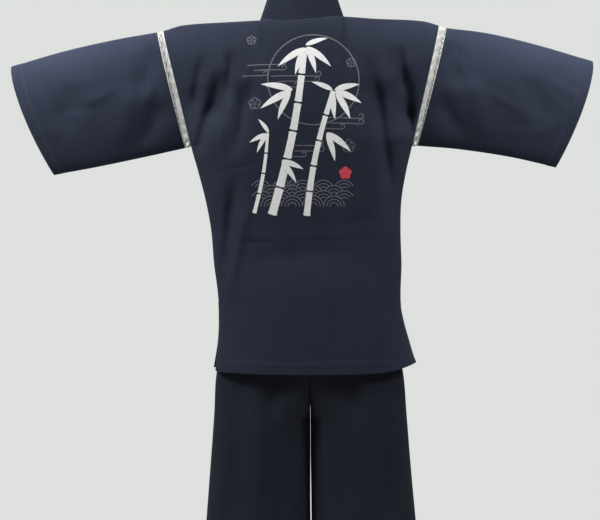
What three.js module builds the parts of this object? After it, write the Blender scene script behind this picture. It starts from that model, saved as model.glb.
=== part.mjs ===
import * as THREE from "three";

// A jinbei as it is worn: a wrap jacket, whose wide sleeves are joined to it by strips of open lace,
// over loose cropped trousers. Sizes are in millimetres. +Z is up, the front faces -Y, and the
// wearer's left is +X. The origin is at the base of the neck, level with the tops of the shoulders.

const CLOTH = 1.6; // wall of one layer of cloth
const BAND = 2.4; // wall of the folded collar band and of the waistband
const SEAM = 0.2; // how far a piece stops short of the seam's own line
const ARMHOLE_GAP = 0.4; // the same at the armholes, where the cloth turns as it meets the lace

const NAVY = 0x262b40;
const NAVY_SHADE = 0x22263a;
const OFF_WHITE = 0xdedbd2;

// Jacket sections by height: the middle across, half the width, and how far back and front stand out.
const JACKET_HEM = -719;
const HEM_SAG = 3; // how much lower the hem hangs at its middle
const SLIT_TOP = -590;
const ARMPIT = -253;
const BODY = [
  { z: -760, middle: -17, half: 198, back: 126, front: 110 },
  { z: -719, middle: -13, half: 192, back: 125, front: 110 },
  { z: -665, middle: -16, half: 190, back: 123, front: 109 },
  { z: -615, middle: -16, half: 190, back: 120, front: 110 },
  { z: -560, middle: -14, half: 191, back: 116, front: 111 },
  { z: -500, middle: -11, half: 196, back: 109, front: 111 },
  { z: -430, middle: -7, half: 198, back: 108, front: 110 },
  { z: -365, middle: -2, half: 205, back: 113, front: 110 },
  { z: -300, middle: 1, half: 219, back: 118, front: 113 },
  { z: -253, middle: 2, half: 231, back: 121, front: 114 },
  { z: -150, middle: 1, half: 251, back: 124, front: 112 },
  { z: -60, middle: -1, half: 272, back: 121, front: 108 },
  { z: 20, middle: -2, half: 288, back: 118, front: 104 },
];
const ROUNDNESS = 2.4; // 2 is an ellipse, and more is squarer
const BACK_ROLL = 2.6; // the same for how the back rolls over to the shoulder line
const FRONT_ROLL = 2.2;
const CHEST_SHARE = 0.45; // of the height above the armpits, over which the section flattens out

// The armholes lean: wide apart at the shoulders and closer at the armpits.
const ARMHOLE = { topMiddle: 3, topHalf: 288.5, bottomMiddle: 2, bottomHalf: 231, bulge: 44 };
const ARMHOLE_REACH = { atTop: 3, atArmpit: 16 }; // how closely the fullness keeps to its edge
const TEARDROP = 0.45; // how much fuller the upper part of an armhole or a sleeve is

// Height of the shoulder line, by distance from the middle, on each side.
const SHOULDER = [
  { out: 0, left: 10, right: 18 },
  { out: 84, left: 9, right: 17 },
  { out: 150, left: 6, right: 13 },
  { out: 250, left: 0, right: 9 },
  { out: 290, left: -11, right: -1 },
];
const NECK_HALF = 86;
const NAPE_BACK = 58; // how far behind the shoulder line the neckline runs at the nape
const NAPE_DIP = 11;

// Side slits: how far the cloth's edges spread by the hem. The corners of the fronts flare a little,
// and the back's at the wearer's right flares most and lifts.
const SLIT = { backSpread: 45, frontSpread: 24 };
const BACK_FLARE = { out: 29, lift: 17 };
const FRONT_FLARE = 8;
const FLARE_POWER = { down: 1.3, across: 12 }; // how closely a flare keeps to its corner

// Folds, as lines across the cloth. A positive lift is a ridge and a negative one is a trough.
const FOLD_TAPER = 0.35; // share of a fold's length over which each end of it dies away
const SIDE_FADE = 9; // how sharply folds die away at the side seams
const BACK_FOLDS = [
  { x1: 220, z1: -45, x2: 242, z2: -190, width: 13, lift: -10 },
  { x1: 188, z1: -120, x2: 232, z2: -256, width: 20, lift: -15 },
  { x1: 159, z1: -45, x2: 167, z2: -180, width: 10, lift: -11 },
  { x1: 143, z1: -75, x2: 185, z2: -280, width: 11, lift: 6 },
  { x1: 126, z1: -85, x2: 160, z2: -290, width: 14, lift: -10 },
  { x1: -142, z1: -50, x2: -200, z2: -390, width: 15, lift: -16 },
  { x1: -175, z1: -65, x2: -194, z2: -230, width: 11, lift: 5 },
  { x1: -208, z1: -45, x2: -214, z2: -160, width: 10, lift: -10 },
  { x1: -218, z1: -95, x2: -232, z2: -260, width: 17, lift: -15 },
  { x1: 118, z1: -350, x2: 168, z2: -590, width: 13, lift: 8 },
  { x1: 146, z1: -300, x2: 176, z2: -570, width: 15, lift: -13 },
  { x1: 150, z1: -484, x2: -140, z2: -478, width: 22, lift: -3 },
];
const FRONT_FOLDS = [
  { x1: 120, z1: -50, x2: 118, z2: -220, width: 17, lift: -6 },
  { x1: 165, z1: -70, x2: 168, z2: -260, width: 15, lift: -8 },
  { x1: 142, z1: -60, x2: 140, z2: -280, width: 16, lift: 5 },
  { x1: 205, z1: -90, x2: 216, z2: -250, width: 15, lift: -8 },
  { x1: 168, z1: -300, x2: 150, z2: -440, width: 18, lift: -6 },
  { x1: -130, z1: -60, x2: -136, z2: -240, width: 17, lift: -6 },
  { x1: -172, z1: -70, x2: -184, z2: -280, width: 15, lift: -8 },
  { x1: -206, z1: -90, x2: -216, z2: -250, width: 15, lift: -8 },
];
const LEFT_FRONT_FOLDS = [
  { x1: -50, z1: -474, x2: 105, z2: -436, width: 16, lift: 5 },
  { x1: -70, z1: -505, x2: 120, z2: -520, width: 18, lift: 5 },
  { x1: -80, z1: -530, x2: 40, z2: -640, width: 22, lift: 6 },
  { x1: 150, z1: -470, x2: 122, z2: -680, width: 20, lift: 6 },
];

// The collar's seam down each front, by height: its distance from the middle of the chest.
const COLLAR_WIDTH = 50;
const COLLAR_CLEAR = 2; // from the seam's line to the band
const COLLAR_END = -470;
const COLLAR_SEAM = [
  { z: COLLAR_END, out: -88 },
  { z: -400, out: -48 },
  { z: -320, out: -2 },
  { z: -240, out: 35 },
  { z: -170, out: 60 },
  { z: -110, out: 76 },
  { z: -50, out: 85 },
  { z: 17, out: NECK_HALF },
];
const COLLAR_LEAN = { inward: 0.32, forward: 0.16 }; // of the band that stands up around the neck
const COLLAR_LIES_BY = 130; // the drop below the shoulder by which the band lies flat on the front
const FRONT_EDGE_OUT = -140; // the free front edge below the collar's end
const UNDER_COLLAR = { from: -80, by: -200 }; // heights between which the fronts come to reach under it

// Layers where the fronts overlap, from the innermost: right front, its collar, left front, its collar.
const LAYER = { rightFront: -4.2, leftFront: 3.4, collarRise: 3.1, top: -20, fade: 90 };
const COLLAR_RISE = { top: 10, fade: 60 }; // where the band comes to lie on the front, not against its edge

// Sleeves: the line of the arm's top and of the hanging fold below, from the lace to the cuff.
const SLEEVE_LEFT = [
  { q: 0, topX: 304, topZ: -14, bottomX: 247, bottomZ: -256, half: 45, bow: 0 },
  { q: 0.3, topX: 389, topZ: -29, bottomX: 333, bottomZ: -275, half: 48, bow: 2 },
  { q: 0.65, topX: 500, topZ: -54, bottomX: 434, bottomZ: -296, half: 46, bow: 5 },
  { q: 1, topX: 609, topZ: -86, bottomX: 522, bottomZ: -312, half: 43, bow: 9 },
];
const SLEEVE_RIGHT = [
  { q: 0, topX: -301, topZ: -5, bottomX: -242, bottomZ: -251, half: 45, bow: 0 },
  { q: 0.3, topX: -392, topZ: -17, bottomX: -326, bottomZ: -258, half: 48, bow: 2 },
  { q: 0.65, topX: -500, topZ: -43, bottomX: -434, bottomZ: -274, half: 46, bow: 4 },
  { q: 1, topX: -607, topZ: -75, bottomX: -532, bottomZ: -296, half: 43, bow: 8 },
];
const SLEEVE_LENGTH = 320;
const SLEEVE_DROP = 245;
// Folds on a sleeve, by share of its length (q) and of its height from the top (h).
const SLEEVE_FOLDS = [
  { q1: 0.02, h1: 0.08, q2: 0.2, h2: 0.55, width: 22, lift: -7 },
  { q1: 0.04, h1: 0.55, q2: 0.3, h2: 0.96, width: 22, lift: -9 },
  { q1: 0.22, h1: 0.4, q2: 0.46, h2: 0.95, width: 24, lift: 6 },
  { q1: 0.55, h1: 0.3, q2: 0.85, h2: 0.7, width: 24, lift: -5 },
];

// The lace between each armhole and its sleeve: a row of diamond gaps.
const LACE = { wall: 1.5, gaps: 13, gapAlong: 9, gapAcross: 5.4, trim: 0.25 };
const LACE_SAMPLES = 200; // places at which the armhole's length is measured

// Trousers: the same kind of sections, from the hems up to the waist.
const WAIST_TOP = -428;
const WAISTBAND_HEIGHT = 36;
const CROTCH = -812;
const TROUSER_HEM = -1100;
// Half the gap between the legs, which touch down to the thighs and part below.
const LEG_GAP = { closed: 0.25, hem: 0.85, from: -880, fade: 130 };
const PANEL_WIDTH = 200;
const TROUSERS = [
  { z: -1100, middle: -19, half: 224, back: 85, front: 86 },
  { z: -1037, middle: -18, half: 219, back: 86, front: 86 },
  { z: -930, middle: -17, half: 210, back: 89, front: 88 },
  { z: -812, middle: -16.5, half: 201, back: 95, front: 92 },
  { z: -743, middle: -15.5, half: 197, back: 98, front: 93 },
  { z: -690, middle: -15.5, half: 189.5, back: 100, front: 94 },
  { z: -640, middle: -16, half: 187.9, back: 101, front: 95 },
  { z: -600, middle: -15.6, half: 188, back: 101, front: 96 },
  { z: -560, middle: -14, half: 187, back: 98, front: 95 },
  { z: -515, middle: -12, half: 180, back: 93, front: 92 },
  { z: -464, middle: -9, half: 167, back: 84, front: 86 },
  { z: -428, middle: -7, half: 160, back: 78, front: 80 },
];
const CROTCH_CURVE_TOP = -690; // above this the middle seams hang straight
const LEG_FORMED = -870; // below this each leg is a full round
const INNER_TURN = { hips: 0.12, leg: 0.5 }; // share of the width over which the inner side rounds off
const TROUSER_FOLDS = [
  { s1: 0.3, z1: -600, s2: 0.42, z2: -840, width: 20, lift: -9 },
  { s1: 0.5, z1: -700, s2: 0.55, z2: -1060, width: 22, lift: 6 },
  { s1: 0.72, z1: -740, s2: 0.74, z2: -1090, width: 22, lift: -7 },
  { s1: 0.24, z1: -860, s2: 0.3, z2: -1090, width: 19, lift: -7 },
];

// The outer tie: two strips knotted in a bow at the wearer's right side.
const TIE = { width: 17, wall: 1.5, knotX: -172, knotZ: -452, lift: 8 };
const KNOT = { radius: 9.6, depth: 7.6, out: 6, turn: -0.35 };

const mix = (a, b, t) => a + (b - a) * t;
const clamp01 = (t) => Math.min(1, Math.max(0, t));
const ease = (t) => clamp01(t) ** 2 * (3 - 2 * clamp01(t));
const vec = (x, y, z) => new THREE.Vector3(x, y, z);

// Every column of a table at a value of its first column, on a smooth curve through the rows.
function at(table, value) {
  const key = Object.keys(table[0])[0];
  const last = table.length - 1;
  let i = 0;
  while (i < last - 1 && table[i + 1][key] <= value) i++;
  const [a, b] = [table[i], table[i + 1]];
  const [before, after] = [table[Math.max(0, i - 1)], table[Math.min(last, i + 2)]];
  const span = b[key] - a[key];
  const t = clamp01((value - a[key]) / span);
  const found = {};
  for (const name of Object.keys(a)) {
    const slopeA = i > 0 ? ((b[name] - before[name]) * span) / (b[key] - before[key]) : b[name] - a[name];
    const slopeB =
      i < last - 1 ? ((after[name] - a[name]) * span) / (after[key] - a[key]) : b[name] - a[name];
    const [t2, t3] = [t * t, t * t * t];
    found[name] =
      a[name] * (2 * t3 - 3 * t2 + 1) +
      slopeA * (t3 - 2 * t2 + t) +
      b[name] * (3 * t2 - 2 * t3) +
      slopeB * (t3 - t2);
  }
  return found;
}

// How far folds lift a point. The point and the folds' ends are in the same flat measure, in mm.
function foldLift(folds, x, z) {
  let lift = 0;
  for (const fold of folds) {
    const [dx, dz] = [fold.x2 - fold.x1, fold.z2 - fold.z1];
    const length = Math.hypot(dx, dz);
    const along = ((x - fold.x1) * dx + (z - fold.z1) * dz) / length;
    const aside = ((x - fold.x1) * dz - (z - fold.z1) * dx) / length;
    const inside = ease(along / length / FOLD_TAPER) * ease((1 - along / length) / FOLD_TAPER);
    lift += fold.lift * inside * Math.exp(-((aside / fold.width) ** 2));
  }
  return lift;
}

// Height of the shoulder line, and of the neckline at the nape.
function ridge(x) {
  const sides = at(SHOULDER, Math.min(Math.abs(x), 290));
  return mix(sides.right, sides.left, ease((x + NECK_HALF) / (2 * NECK_HALF)));
}
const neckShare = (x) => Math.sqrt(Math.max(0, 1 - (x / NECK_HALF) ** 2));

// Share of the way up from the armpit to the shoulder line; below zero it is under the armpit.
const rise = (z, top) => Math.min(1, (z - ARMPIT) / (top - ARMPIT));

// Middle and half width of the jacket at a height, or at a share of the way up the armhole.
function spread(z, v) {
  if (v <= 0) return at(BODY, z);
  return {
    middle: mix(ARMHOLE.bottomMiddle, ARMHOLE.topMiddle, v),
    half: mix(ARMHOLE.bottomHalf, ARMHOLE.topHalf, v),
  };
}

// A sleeve's or an armhole's fullness, from 0 at its top, through 1, to 0 at its bottom.
function fullness(h) {
  const cosine = 1 - 2 * h;
  return Math.sqrt(Math.max(0, 1 - cosine * cosine)) * (1 + TEARDROP * cosine);
}

// How far down the side slits a height is, from 0 at their tops to 1 at the hem.
const openShare = (z) => clamp01((SLIT_TOP - z) / (SLIT_TOP - JACKET_HEM));

// How far the jacket stands out from the line of the side seams, at a place seen from the front.
function standOut(x, z, top, isBack, folds) {
  const v = rise(z, top);
  const { middle, half } = spread(z, v);
  const s = Math.min(1, Math.abs((x - middle) / half));
  const depth = at(BODY, z)[isBack ? "back" : "front"];
  const lift = foldLift(folds, x, z) * Math.min(1, (1 - s) * SIDE_FADE);
  if (v <= 0) {
    const edge = openShare(z) * (isBack ? SLIT.backSpread : SLIT.frontSpread);
    return edge + (depth - edge) * (1 - s ** ROUNDNESS) ** (1 / ROUNDNESS) + lift;
  }
  const roll = isBack ? BACK_ROLL : FRONT_ROLL;
  const across = (1 - s ** ROUNDNESS) ** mix(1 / ROUNDNESS, 1, ease(v / CHEST_SHARE));
  const over = (1 - v ** roll) ** (1 / roll);
  const neckline = isBack ? NAPE_BACK * neckShare(x) : 0;
  const reach = mix(ARMHOLE_REACH.atArmpit, ARMHOLE_REACH.atTop, ease(2 * v));
  const armhole = ARMHOLE.bulge * fullness(1 - v) * s ** reach;
  return neckline + (depth * across - neckline) * over + armhole + lift * over;
}

function backTop(x) {
  return ridge(x) - NAPE_DIP * neckShare(x) ** 2;
}
function onBack(x, z) {
  return vec(x, Math.max(SEAM, standOut(x, z, backTop(x), true, BACK_FOLDS)), z);
}
function onFront(x, z, layer = 0) {
  const v = rise(z, ridge(x));
  const { middle, half } = spread(z, v);
  const s = Math.abs((x - middle) / half);
  const folds = layer > 0 ? [...FRONT_FOLDS, ...LEFT_FRONT_FOLDS] : FRONT_FOLDS;
  const inner = layer * ease((1 - s) / 0.2) * ease((LAYER.top - z) / LAYER.fade);
  return vec(x, -Math.max(SEAM, standOut(x, z, ridge(x), false, folds) + inner), z);
}

// A closed wall around a grid of points on its middle surface. fix adjusts each finished corner.
function clothWall(grid, thickness, { ring = false, fix = (p) => p } = {}) {
  const [rows, columns] = [grid.length, grid[0].length];
  const wrap = (j) => (ring ? (j + columns) % columns : Math.min(columns - 1, Math.max(0, j)));
  const positions = [];
  for (const side of [1, -1]) {
    for (let i = 0; i < rows; i++) {
      for (let j = 0; j < columns; j++) {
        const down = grid[Math.min(rows - 1, i + 1)][j].clone().sub(grid[Math.max(0, i - 1)][j]);
        const along = grid[i][wrap(j + 1)].clone().sub(grid[i][wrap(j - 1)]);
        const normal = along.cross(down).normalize();
        const corner = grid[i][j].clone().addScaledVector(normal, (side * thickness) / 2);
        positions.push(...fix(corner, i, j).toArray());
      }
    }
  }
  const outer = (i, j) => i * columns + wrap(j);
  const inner = (i, j) => rows * columns + outer(i, j);
  const index = [];
  const quad = (a, b, c, d) => index.push(a, b, c, a, c, d);
  const lastColumn = ring ? columns : columns - 1;
  for (let i = 0; i < rows - 1; i++) {
    for (let j = 0; j < lastColumn; j++) {
      quad(outer(i, j), outer(i, j + 1), outer(i + 1, j + 1), outer(i + 1, j));
      quad(inner(i, j), inner(i + 1, j), inner(i + 1, j + 1), inner(i, j + 1));
    }
  }
  for (let j = 0; j < lastColumn; j++) {
    quad(outer(0, j), inner(0, j), inner(0, j + 1), outer(0, j + 1));
    quad(outer(rows - 1, j), outer(rows - 1, j + 1), inner(rows - 1, j + 1), inner(rows - 1, j));
  }
  if (!ring) {
    for (let i = 0; i < rows - 1; i++) {
      quad(outer(i, 0), outer(i + 1, 0), inner(i + 1, 0), inner(i, 0));
      quad(outer(i, lastColumn), inner(i, lastColumn), inner(i + 1, lastColumn), outer(i + 1, lastColumn));
    }
  }
  return solid(positions, index);
}

// A geometry whose faces point out, whichever way round they were listed.
function solid(positions, index) {
  const corner = (k) => vec(...positions.slice(3 * k, 3 * k + 3));
  let volume = 0;
  for (let k = 0; k < index.length; k += 3) {
    const [a, b, c] = [0, 1, 2].map((n) => corner(index[k + n]));
    volume += a.dot(b.cross(c));
  }
  if (volume < 0) {
    for (let k = 0; k < index.length; k += 3) {
      [index[k], index[k + 1]] = [index[k + 1], index[k]];
    }
  }
  const geometry = new THREE.BufferGeometry();
  geometry.setAttribute("position", new THREE.Float32BufferAttribute(positions, 3));
  geometry.setIndex(index);
  return geometry;
}

const jinbei = new THREE.Group();
function addPiece(name, geometry, color, roughness = 0.9) {
  const material = new THREE.MeshStandardMaterial({ color, roughness, metalness: 0 });
  const mesh = new THREE.Mesh(geometry, material);
  mesh.name = name;
  jinbei.add(mesh);
}

const steps = (count) => Array.from({ length: count + 1 }, (_, k) => k / count);

// Rows of the jacket's body, from the shoulder line down: v above the armpit, then heights.
const ROWS_ABOVE = 10;
const ROWS_BODY = 11;
const ROWS_SLIT = 4;
const jacketRows = [
  ...steps(ROWS_ABOVE).map((t) => ({ v: (1 + Math.cos(Math.PI * t)) / 2 })),
  ...steps(ROWS_BODY).slice(1).map((t) => ({ z: mix(ARMPIT, SLIT_TOP, t) })),
  ...steps(ROWS_SLIT).slice(1).map((t) => ({ z: mix(SLIT_TOP, JACKET_HEM, t) })),
];

// The place on a row at share s of the half width, pulled back a little from the armhole's edge.
function rowPlace(row, s, topOf) {
  if (row.v === undefined) {
    const { middle, half } = at(BODY, row.z);
    const sag = HEM_SAG * (1 - s * s) * openShare(row.z) ** 2;
    return { x: middle + s * half, z: row.z - sag };
  }
  const { middle, half } = spread(0, Math.max(row.v, 1e-6));
  const x = middle + s * (half - (row.v > 0 ? ARMHOLE_GAP : 0));
  return { x, z: mix(ARMPIT, topOf(x), row.v) };
}

// Columns of the back, closer together where the cloth turns round the sides.
const NECK_COLUMNS = 4;
const SIDE_COLUMNS = 12;
const neckS = NECK_HALF / (ARMHOLE.topHalf - ARMHOLE_GAP);
const closerOutwards = (t, power) => 1 - (1 - t) ** power;
const halfColumns = [
  ...steps(NECK_COLUMNS).map((t) => neckS * Math.sin((Math.PI / 2) * t)),
  ...steps(SIDE_COLUMNS).slice(1).map((t) => mix(neckS, 1, closerOutwards(t, 1.3))),
];
const backColumns = [...halfColumns.slice(1).reverse().map((s) => -s), ...halfColumns];

// Share of a slit corner's flare at a height, and at a share of the way out to the slit's edge.
const flare = (z, s) => openShare(z) ** FLARE_POWER.down * s ** FLARE_POWER.across;

function makeBack() {
  const grid = jacketRows.map((row) =>
    backColumns.map((s) => {
      const { x, z } = rowPlace(row, s, backTop);
      const point = onBack(x, z);
      const corner = s < 0 ? flare(z, -s) : 0;
      return point.add(vec(-BACK_FLARE.out * corner, 0, BACK_FLARE.lift * corner));
    }),
  );
  const fix = (p) => p.setY(Math.max(p.y, SEAM));
  addPiece("jacket_back", clothWall(grid, CLOTH, { fix }), NAVY);
}

// Where each front ends towards the middle: the collar's seam, then further out beneath the collar.
function frontEdge(side, z) {
  const { middle } = spread(z, rise(z, ridge(0)));
  const seam = at(COLLAR_SEAM, Math.max(z, COLLAR_END)).out;
  const under = ease((UNDER_COLLAR.from - z) / (UNDER_COLLAR.from - UNDER_COLLAR.by));
  const beneath = FRONT_EDGE_OUT + seam - at(COLLAR_SEAM, COLLAR_END).out;
  return middle + side * mix(seam, beneath, under);
}

const FRONT_COLUMNS = 15;
function makeFront(name, side, layer) {
  const grid = jacketRows.map((row) =>
    steps(FRONT_COLUMNS).map((t) => {
      const seamSide = rowPlace(row, side, ridge);
      const inner = frontEdge(side, seamHeight(row, side));
      const turn = closerOutwards(t, 1.5);
      const x = mix(inner, seamSide.x, turn);
      const sag = HEM_SAG * (1 - turn ** 2) * openShare(row.z ?? 0) ** 2;
      const z = row.v === undefined ? row.z - sag : mix(ARMPIT, ridge(x), row.v);
      const point = onFront(x, z, layer);
      point.x += side * FRONT_FLARE * flare(z, turn);
      return point;
    }),
  );
  const fix = (p) => p.setY(Math.min(p.y, -SEAM));
  addPiece(name, clothWall(grid, CLOTH, { fix }), NAVY);
}

// Height of a row at the collar's seam.
const seamHeight = (row, side) => row.z ?? mix(ARMPIT, ridge(side * NECK_HALF), row.v);

// The collar's seam from the right front, round the nape, to the left front, at the panels' own rows.
function collarStations() {
  const front = (side) => {
    const heights = jacketRows.slice(1).map((row) => seamHeight(row, side));
    return [...heights.filter((z) => z > COLLAR_END), COLLAR_END].map((z) => ({ side, z }));
  };
  const nape = steps(2 * NECK_COLUMNS).map((t) => ({ x: -NECK_HALF * Math.cos(Math.PI * t) }));
  return [...front(-1).reverse(), ...nape, ...front(1)];
}

const COLLAR_ACROSS = 3;
function collarSection(station) {
  if (station.x !== undefined) {
    const x = station.x;
    const base = vec(x, NAPE_BACK * neckShare(x), backTop(x));
    const up = vec((-COLLAR_LEAN.inward * x) / NECK_HALF, -COLLAR_LEAN.forward, 1).normalize();
    return steps(COLLAR_ACROSS).map((r) => base.clone().addScaledVector(up, COLLAR_WIDTH * r + COLLAR_CLEAR));
  }
  const { side, z } = station;
  const layer = side > 0 ? LAYER.leftFront : LAYER.rightFront;
  const raised = LAYER.collarRise * ease((COLLAR_RISE.top - z) / COLLAR_RISE.fade);
  const place = (h) => spread(h, rise(h, ridge(0))).middle + side * at(COLLAR_SEAM, h).out;
  const x = place(z);
  const slope = (place(Math.max(z - 4, COLLAR_END)) - place(z + 4)) / -(Math.min(8, z + 4 - COLLAR_END));
  const tilt = 1 / Math.hypot(1, slope);
  const flat = { x: -side * tilt, z: side * slope * tilt };
  const top = ridge(side * NECK_HALF);
  const lie = ease((top - z) / COLLAR_LIES_BY);
  const base = onFront(x, z, layer);
  base.y -= raised;
  const up = vec(-side * COLLAR_LEAN.inward, -COLLAR_LEAN.forward, 1).normalize();
  return steps(COLLAR_ACROSS).map((r) => {
    const reach = COLLAR_WIDTH * r + COLLAR_CLEAR;
    const lying = onFront(x + flat.x * reach, Math.min(z + flat.z * reach, top - 4), layer);
    lying.y -= raised;
    const standing = base.clone().addScaledVector(up, reach);
    const toward = standing.lerp(lying, lie).sub(base).normalize();
    return base.clone().addScaledVector(toward, reach);
  });
}

function makeCollar() {
  const grid = collarStations().map(collarSection);
  addPiece("collar_band", clothWall(grid, BAND), NAVY);
}

// A sleeve's folds as lines across its cloth laid flat.
const sleeveLines = SLEEVE_FOLDS.map(({ q1, h1, q2, h2, width, lift }) => {
  const ends = { x1: q1 * SLEEVE_LENGTH, z1: h1 * SLEEVE_DROP, x2: q2 * SLEEVE_LENGTH, z2: h2 * SLEEVE_DROP };
  return { ...ends, width, lift };
});

// A point of a sleeve or of its lace: q along from the armhole, h down from the top, on one face.
function onSleeve(table, q, h, face) {
  const ring = at(table, q);
  const bulge = 4 * h * (1 - h) * ring.bow * Math.sign(ring.topX);
  const x = mix(ring.topX, ring.bottomX, h) + bulge;
  const z = mix(ring.topZ, ring.bottomZ, h);
  const full = fullness(h);
  const lift = foldLift(sleeveLines, q * SLEEVE_LENGTH, h * SLEEVE_DROP) * Math.min(1, full);
  return vec(x, face * (ring.half * full + lift), z);
}

const SLEEVE_AROUND = 13; // steps down each face
const SLEEVE_ALONG = 9;
const downRing = steps(SLEEVE_AROUND).map((t) => (1 - Math.cos(Math.PI * t)) / 2);
function makeSleeve(name, table) {
  const grid = steps(SLEEVE_ALONG).map((t) => {
    const q = mix(ARMHOLE_GAP / SLEEVE_LENGTH, 1, t);
    const back = downRing.map((h) => onSleeve(table, q, h, 1));
    const front = downRing.slice(1, -1).reverse().map((h) => onSleeve(table, q, h, -1));
    return [...back, ...front];
  });
  addPiece(name, clothWall(grid, CLOTH, { ring: true }), NAVY);
}

// Half of a lace strip, on the back or the front, as cells that are plain or have a diamond gap.
function makeLace(name, table, side, face) {
  const body = (h) => {
    const v = 1 - h;
    const { middle, half } = spread(0, Math.max(v, 1e-6));
    const x = middle + side * half;
    return vec(x, face * ARMHOLE.bulge * fullness(h), mix(ARMPIT, ridge(x), v));
  };
  const fine = steps(LACE_SAMPLES).map((t) => (1 - Math.cos(Math.PI * t)) / 2);
  const lengths = [0];
  fine.slice(1).forEach((h, k) => lengths.push(lengths[k] + body(h).distanceTo(body(fine[k]))));
  const total = lengths.at(-1);
  const heightAt = (share) => {
    const k = Math.max(1, lengths.findIndex((l) => l >= share * total));
    return mix(fine[k - 1], fine[k], (share * total - lengths[k - 1]) / (lengths[k] - lengths[k - 1]));
  };
  const place = (share, across) => {
    const h = heightAt(clamp01(share));
    const [from, to] = [body(h), onSleeve(table, 0, h, face)];
    const width = from.distanceTo(to);
    const near = ARMHOLE_GAP + CLOTH * h ** 8;
    return from.lerp(to, mix(near / width, 1 - ARMHOLE_GAP / width, across));
  };
  const cells = 2 * LACE.gaps;
  const trim = LACE.trim / total; // keeps the back and front halves apart
  const shareOf = (k) => Math.min(1 - trim, Math.max(trim, k / cells));
  const positions = [];
  const index = [];
  const corners = (share, across) => {
    const point = place(share, across);
    const step = 1 / LACE_SAMPLES;
    const along = place(share + step, across).sub(place(share - step, across));
    const outward = along.cross(place(share, 1).sub(place(share, 0))).normalize();
    return [1, -1].map((k) => {
      const p = point.clone().addScaledVector(outward, (k * LACE.wall) / 2);
      p.y = face * Math.max(face * p.y, SEAM);
      return positions.push(...p.toArray()) / 3 - 1;
    });
  };
  const rails = steps(cells).map((_, k) => [corners(shareOf(k), 0), corners(shareOf(k), 1)]);
  const both = (a, b, c) => index.push(a[0], b[0], c[0], a[1], c[1], b[1]);
  const edge = (a, b) => index.push(a[0], a[1], b[1], a[0], b[1], b[0]);
  for (let k = 0; k < cells; k++) {
    const [[a, b], [d, c]] = [rails[k], rails[k + 1]];
    if (k % 2 === 0) {
      both(a, b, c);
      both(a, c, d);
    } else {
      const middle = (k + 0.5) / cells;
      const reach = LACE.gapAlong / 2 / total;
      const wide = LACE.gapAcross / 2 / place(middle, 0).distanceTo(place(middle, 1));
      const start = corners(middle - reach, 0.5);
      const end = corners(middle + reach, 0.5);
      const near = corners(middle, 0.5 - wide);
      const far = corners(middle, 0.5 + wide);
      for (const [p, q, r] of [
        [a, b, start], [b, far, start], [b, c, far], [c, end, far],
        [c, d, end], [d, near, end], [d, a, near], [a, start, near],
      ]) both(p, q, r);
      for (const [p, q] of [[far, start], [end, far], [near, end], [start, near]]) edge(p, q);
    }
    edge(d, a);
    edge(b, c);
  }
  edge(rails[0][0], rails[0][1]);
  edge(rails[cells][1], rails[cells][0]);
  addPiece(name, solid(positions, index), OFF_WHITE);
}

const trouserLines = TROUSER_FOLDS.map(({ s1, s2, ...rest }) => {
  return { x1: s1 * PANEL_WIDTH, x2: s2 * PANEL_WIDTH, ...rest };
});

// A point of the trousers: s from 0 at the middle seam or inseam to 1 at the side seam.
function onTrousers(side, isBack, s, z) {
  const ring = at(TROUSERS, z);
  const depth = isBack ? ring.back : ring.front;
  const parted = ease((CROTCH_CURVE_TOP - z) / (CROTCH_CURVE_TOP - LEG_FORMED));
  const crotchShare = clamp01((CROTCH_CURVE_TOP - z) / (CROTCH_CURVE_TOP - CROTCH));
  const seamDepth = depth * (1 - crotchShare ** 2) ** 0.5;
  const outer = (1 - clamp01((s - parted / 2) / (1 - parted / 2)) ** ROUNDNESS) ** (1 / ROUNDNESS);
  const turn = mix(INNER_TURN.hips, INNER_TURN.leg, parted);
  const inner = (1 - (1 - Math.min(s / turn, 1)) ** ROUNDNESS) ** (1 / ROUNDNESS);
  const gap = z > CROTCH ? SEAM : mix(LEG_GAP.closed, LEG_GAP.hem, ease((LEG_GAP.from - z) / LEG_GAP.fade));
  const x = ring.middle + side * mix(gap + (CLOTH / 2) * crotchShare, ring.half, s);
  const shape = seamDepth + (depth * outer - seamDepth) * inner;
  const fade = Math.min(1, (1 - s) * SIDE_FADE, s * SIDE_FADE);
  const lift = foldLift(trouserLines, s * PANEL_WIDTH, z) * fade;
  return vec(x, (isBack ? 1 : -1) * Math.max(SEAM, shape + lift), z);
}

const LEG_COLUMNS = 10;
const LEG_ROWS = 15;
const legColumns = steps(LEG_COLUMNS).map((t) => (1 - Math.cos(Math.PI * t)) / 2);
function makeTrouserPanel(name, side, isBack) {
  const top = WAIST_TOP - WAISTBAND_HEIGHT - 2 * SEAM;
  const heights = steps(LEG_ROWS).map((t) => mix(top, TROUSER_HEM, t));
  const grid = heights.map((z) => legColumns.map((s) => onTrousers(side, isBack, s, z)));
  const sign = isBack ? 1 : -1;
  const fix = (p, i) => {
    const { middle } = at(TROUSERS, heights[i]);
    const inner = side * (p.x - middle);
    p.x = middle + side * Math.max(inner, SEAM);
    return p.setY(sign * Math.max(sign * p.y, SEAM));
  };
  addPiece(name, clothWall(grid, CLOTH, { fix }), NAVY_SHADE);
}

const WAIST_AROUND = 36;
function makeWaistband() {
  const grid = steps(1).map((t) => {
    const z = mix(WAIST_TOP, WAIST_TOP - WAISTBAND_HEIGHT, t);
    const { middle, half, back, front } = at(TROUSERS, z);
    return steps(WAIST_AROUND).slice(1).map((turn) => {
      const angle = 2 * Math.PI * turn;
      const power = (value) => Math.sign(value) * Math.abs(value) ** (2 / ROUNDNESS);
      const y = power(Math.sin(angle));
      return vec(middle + half * power(Math.cos(angle)), y * (y > 0 ? back : front), z);
    });
  });
  addPiece("waistband", clothWall(grid, BAND, { ring: true }), NAVY_SHADE);
}

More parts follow.
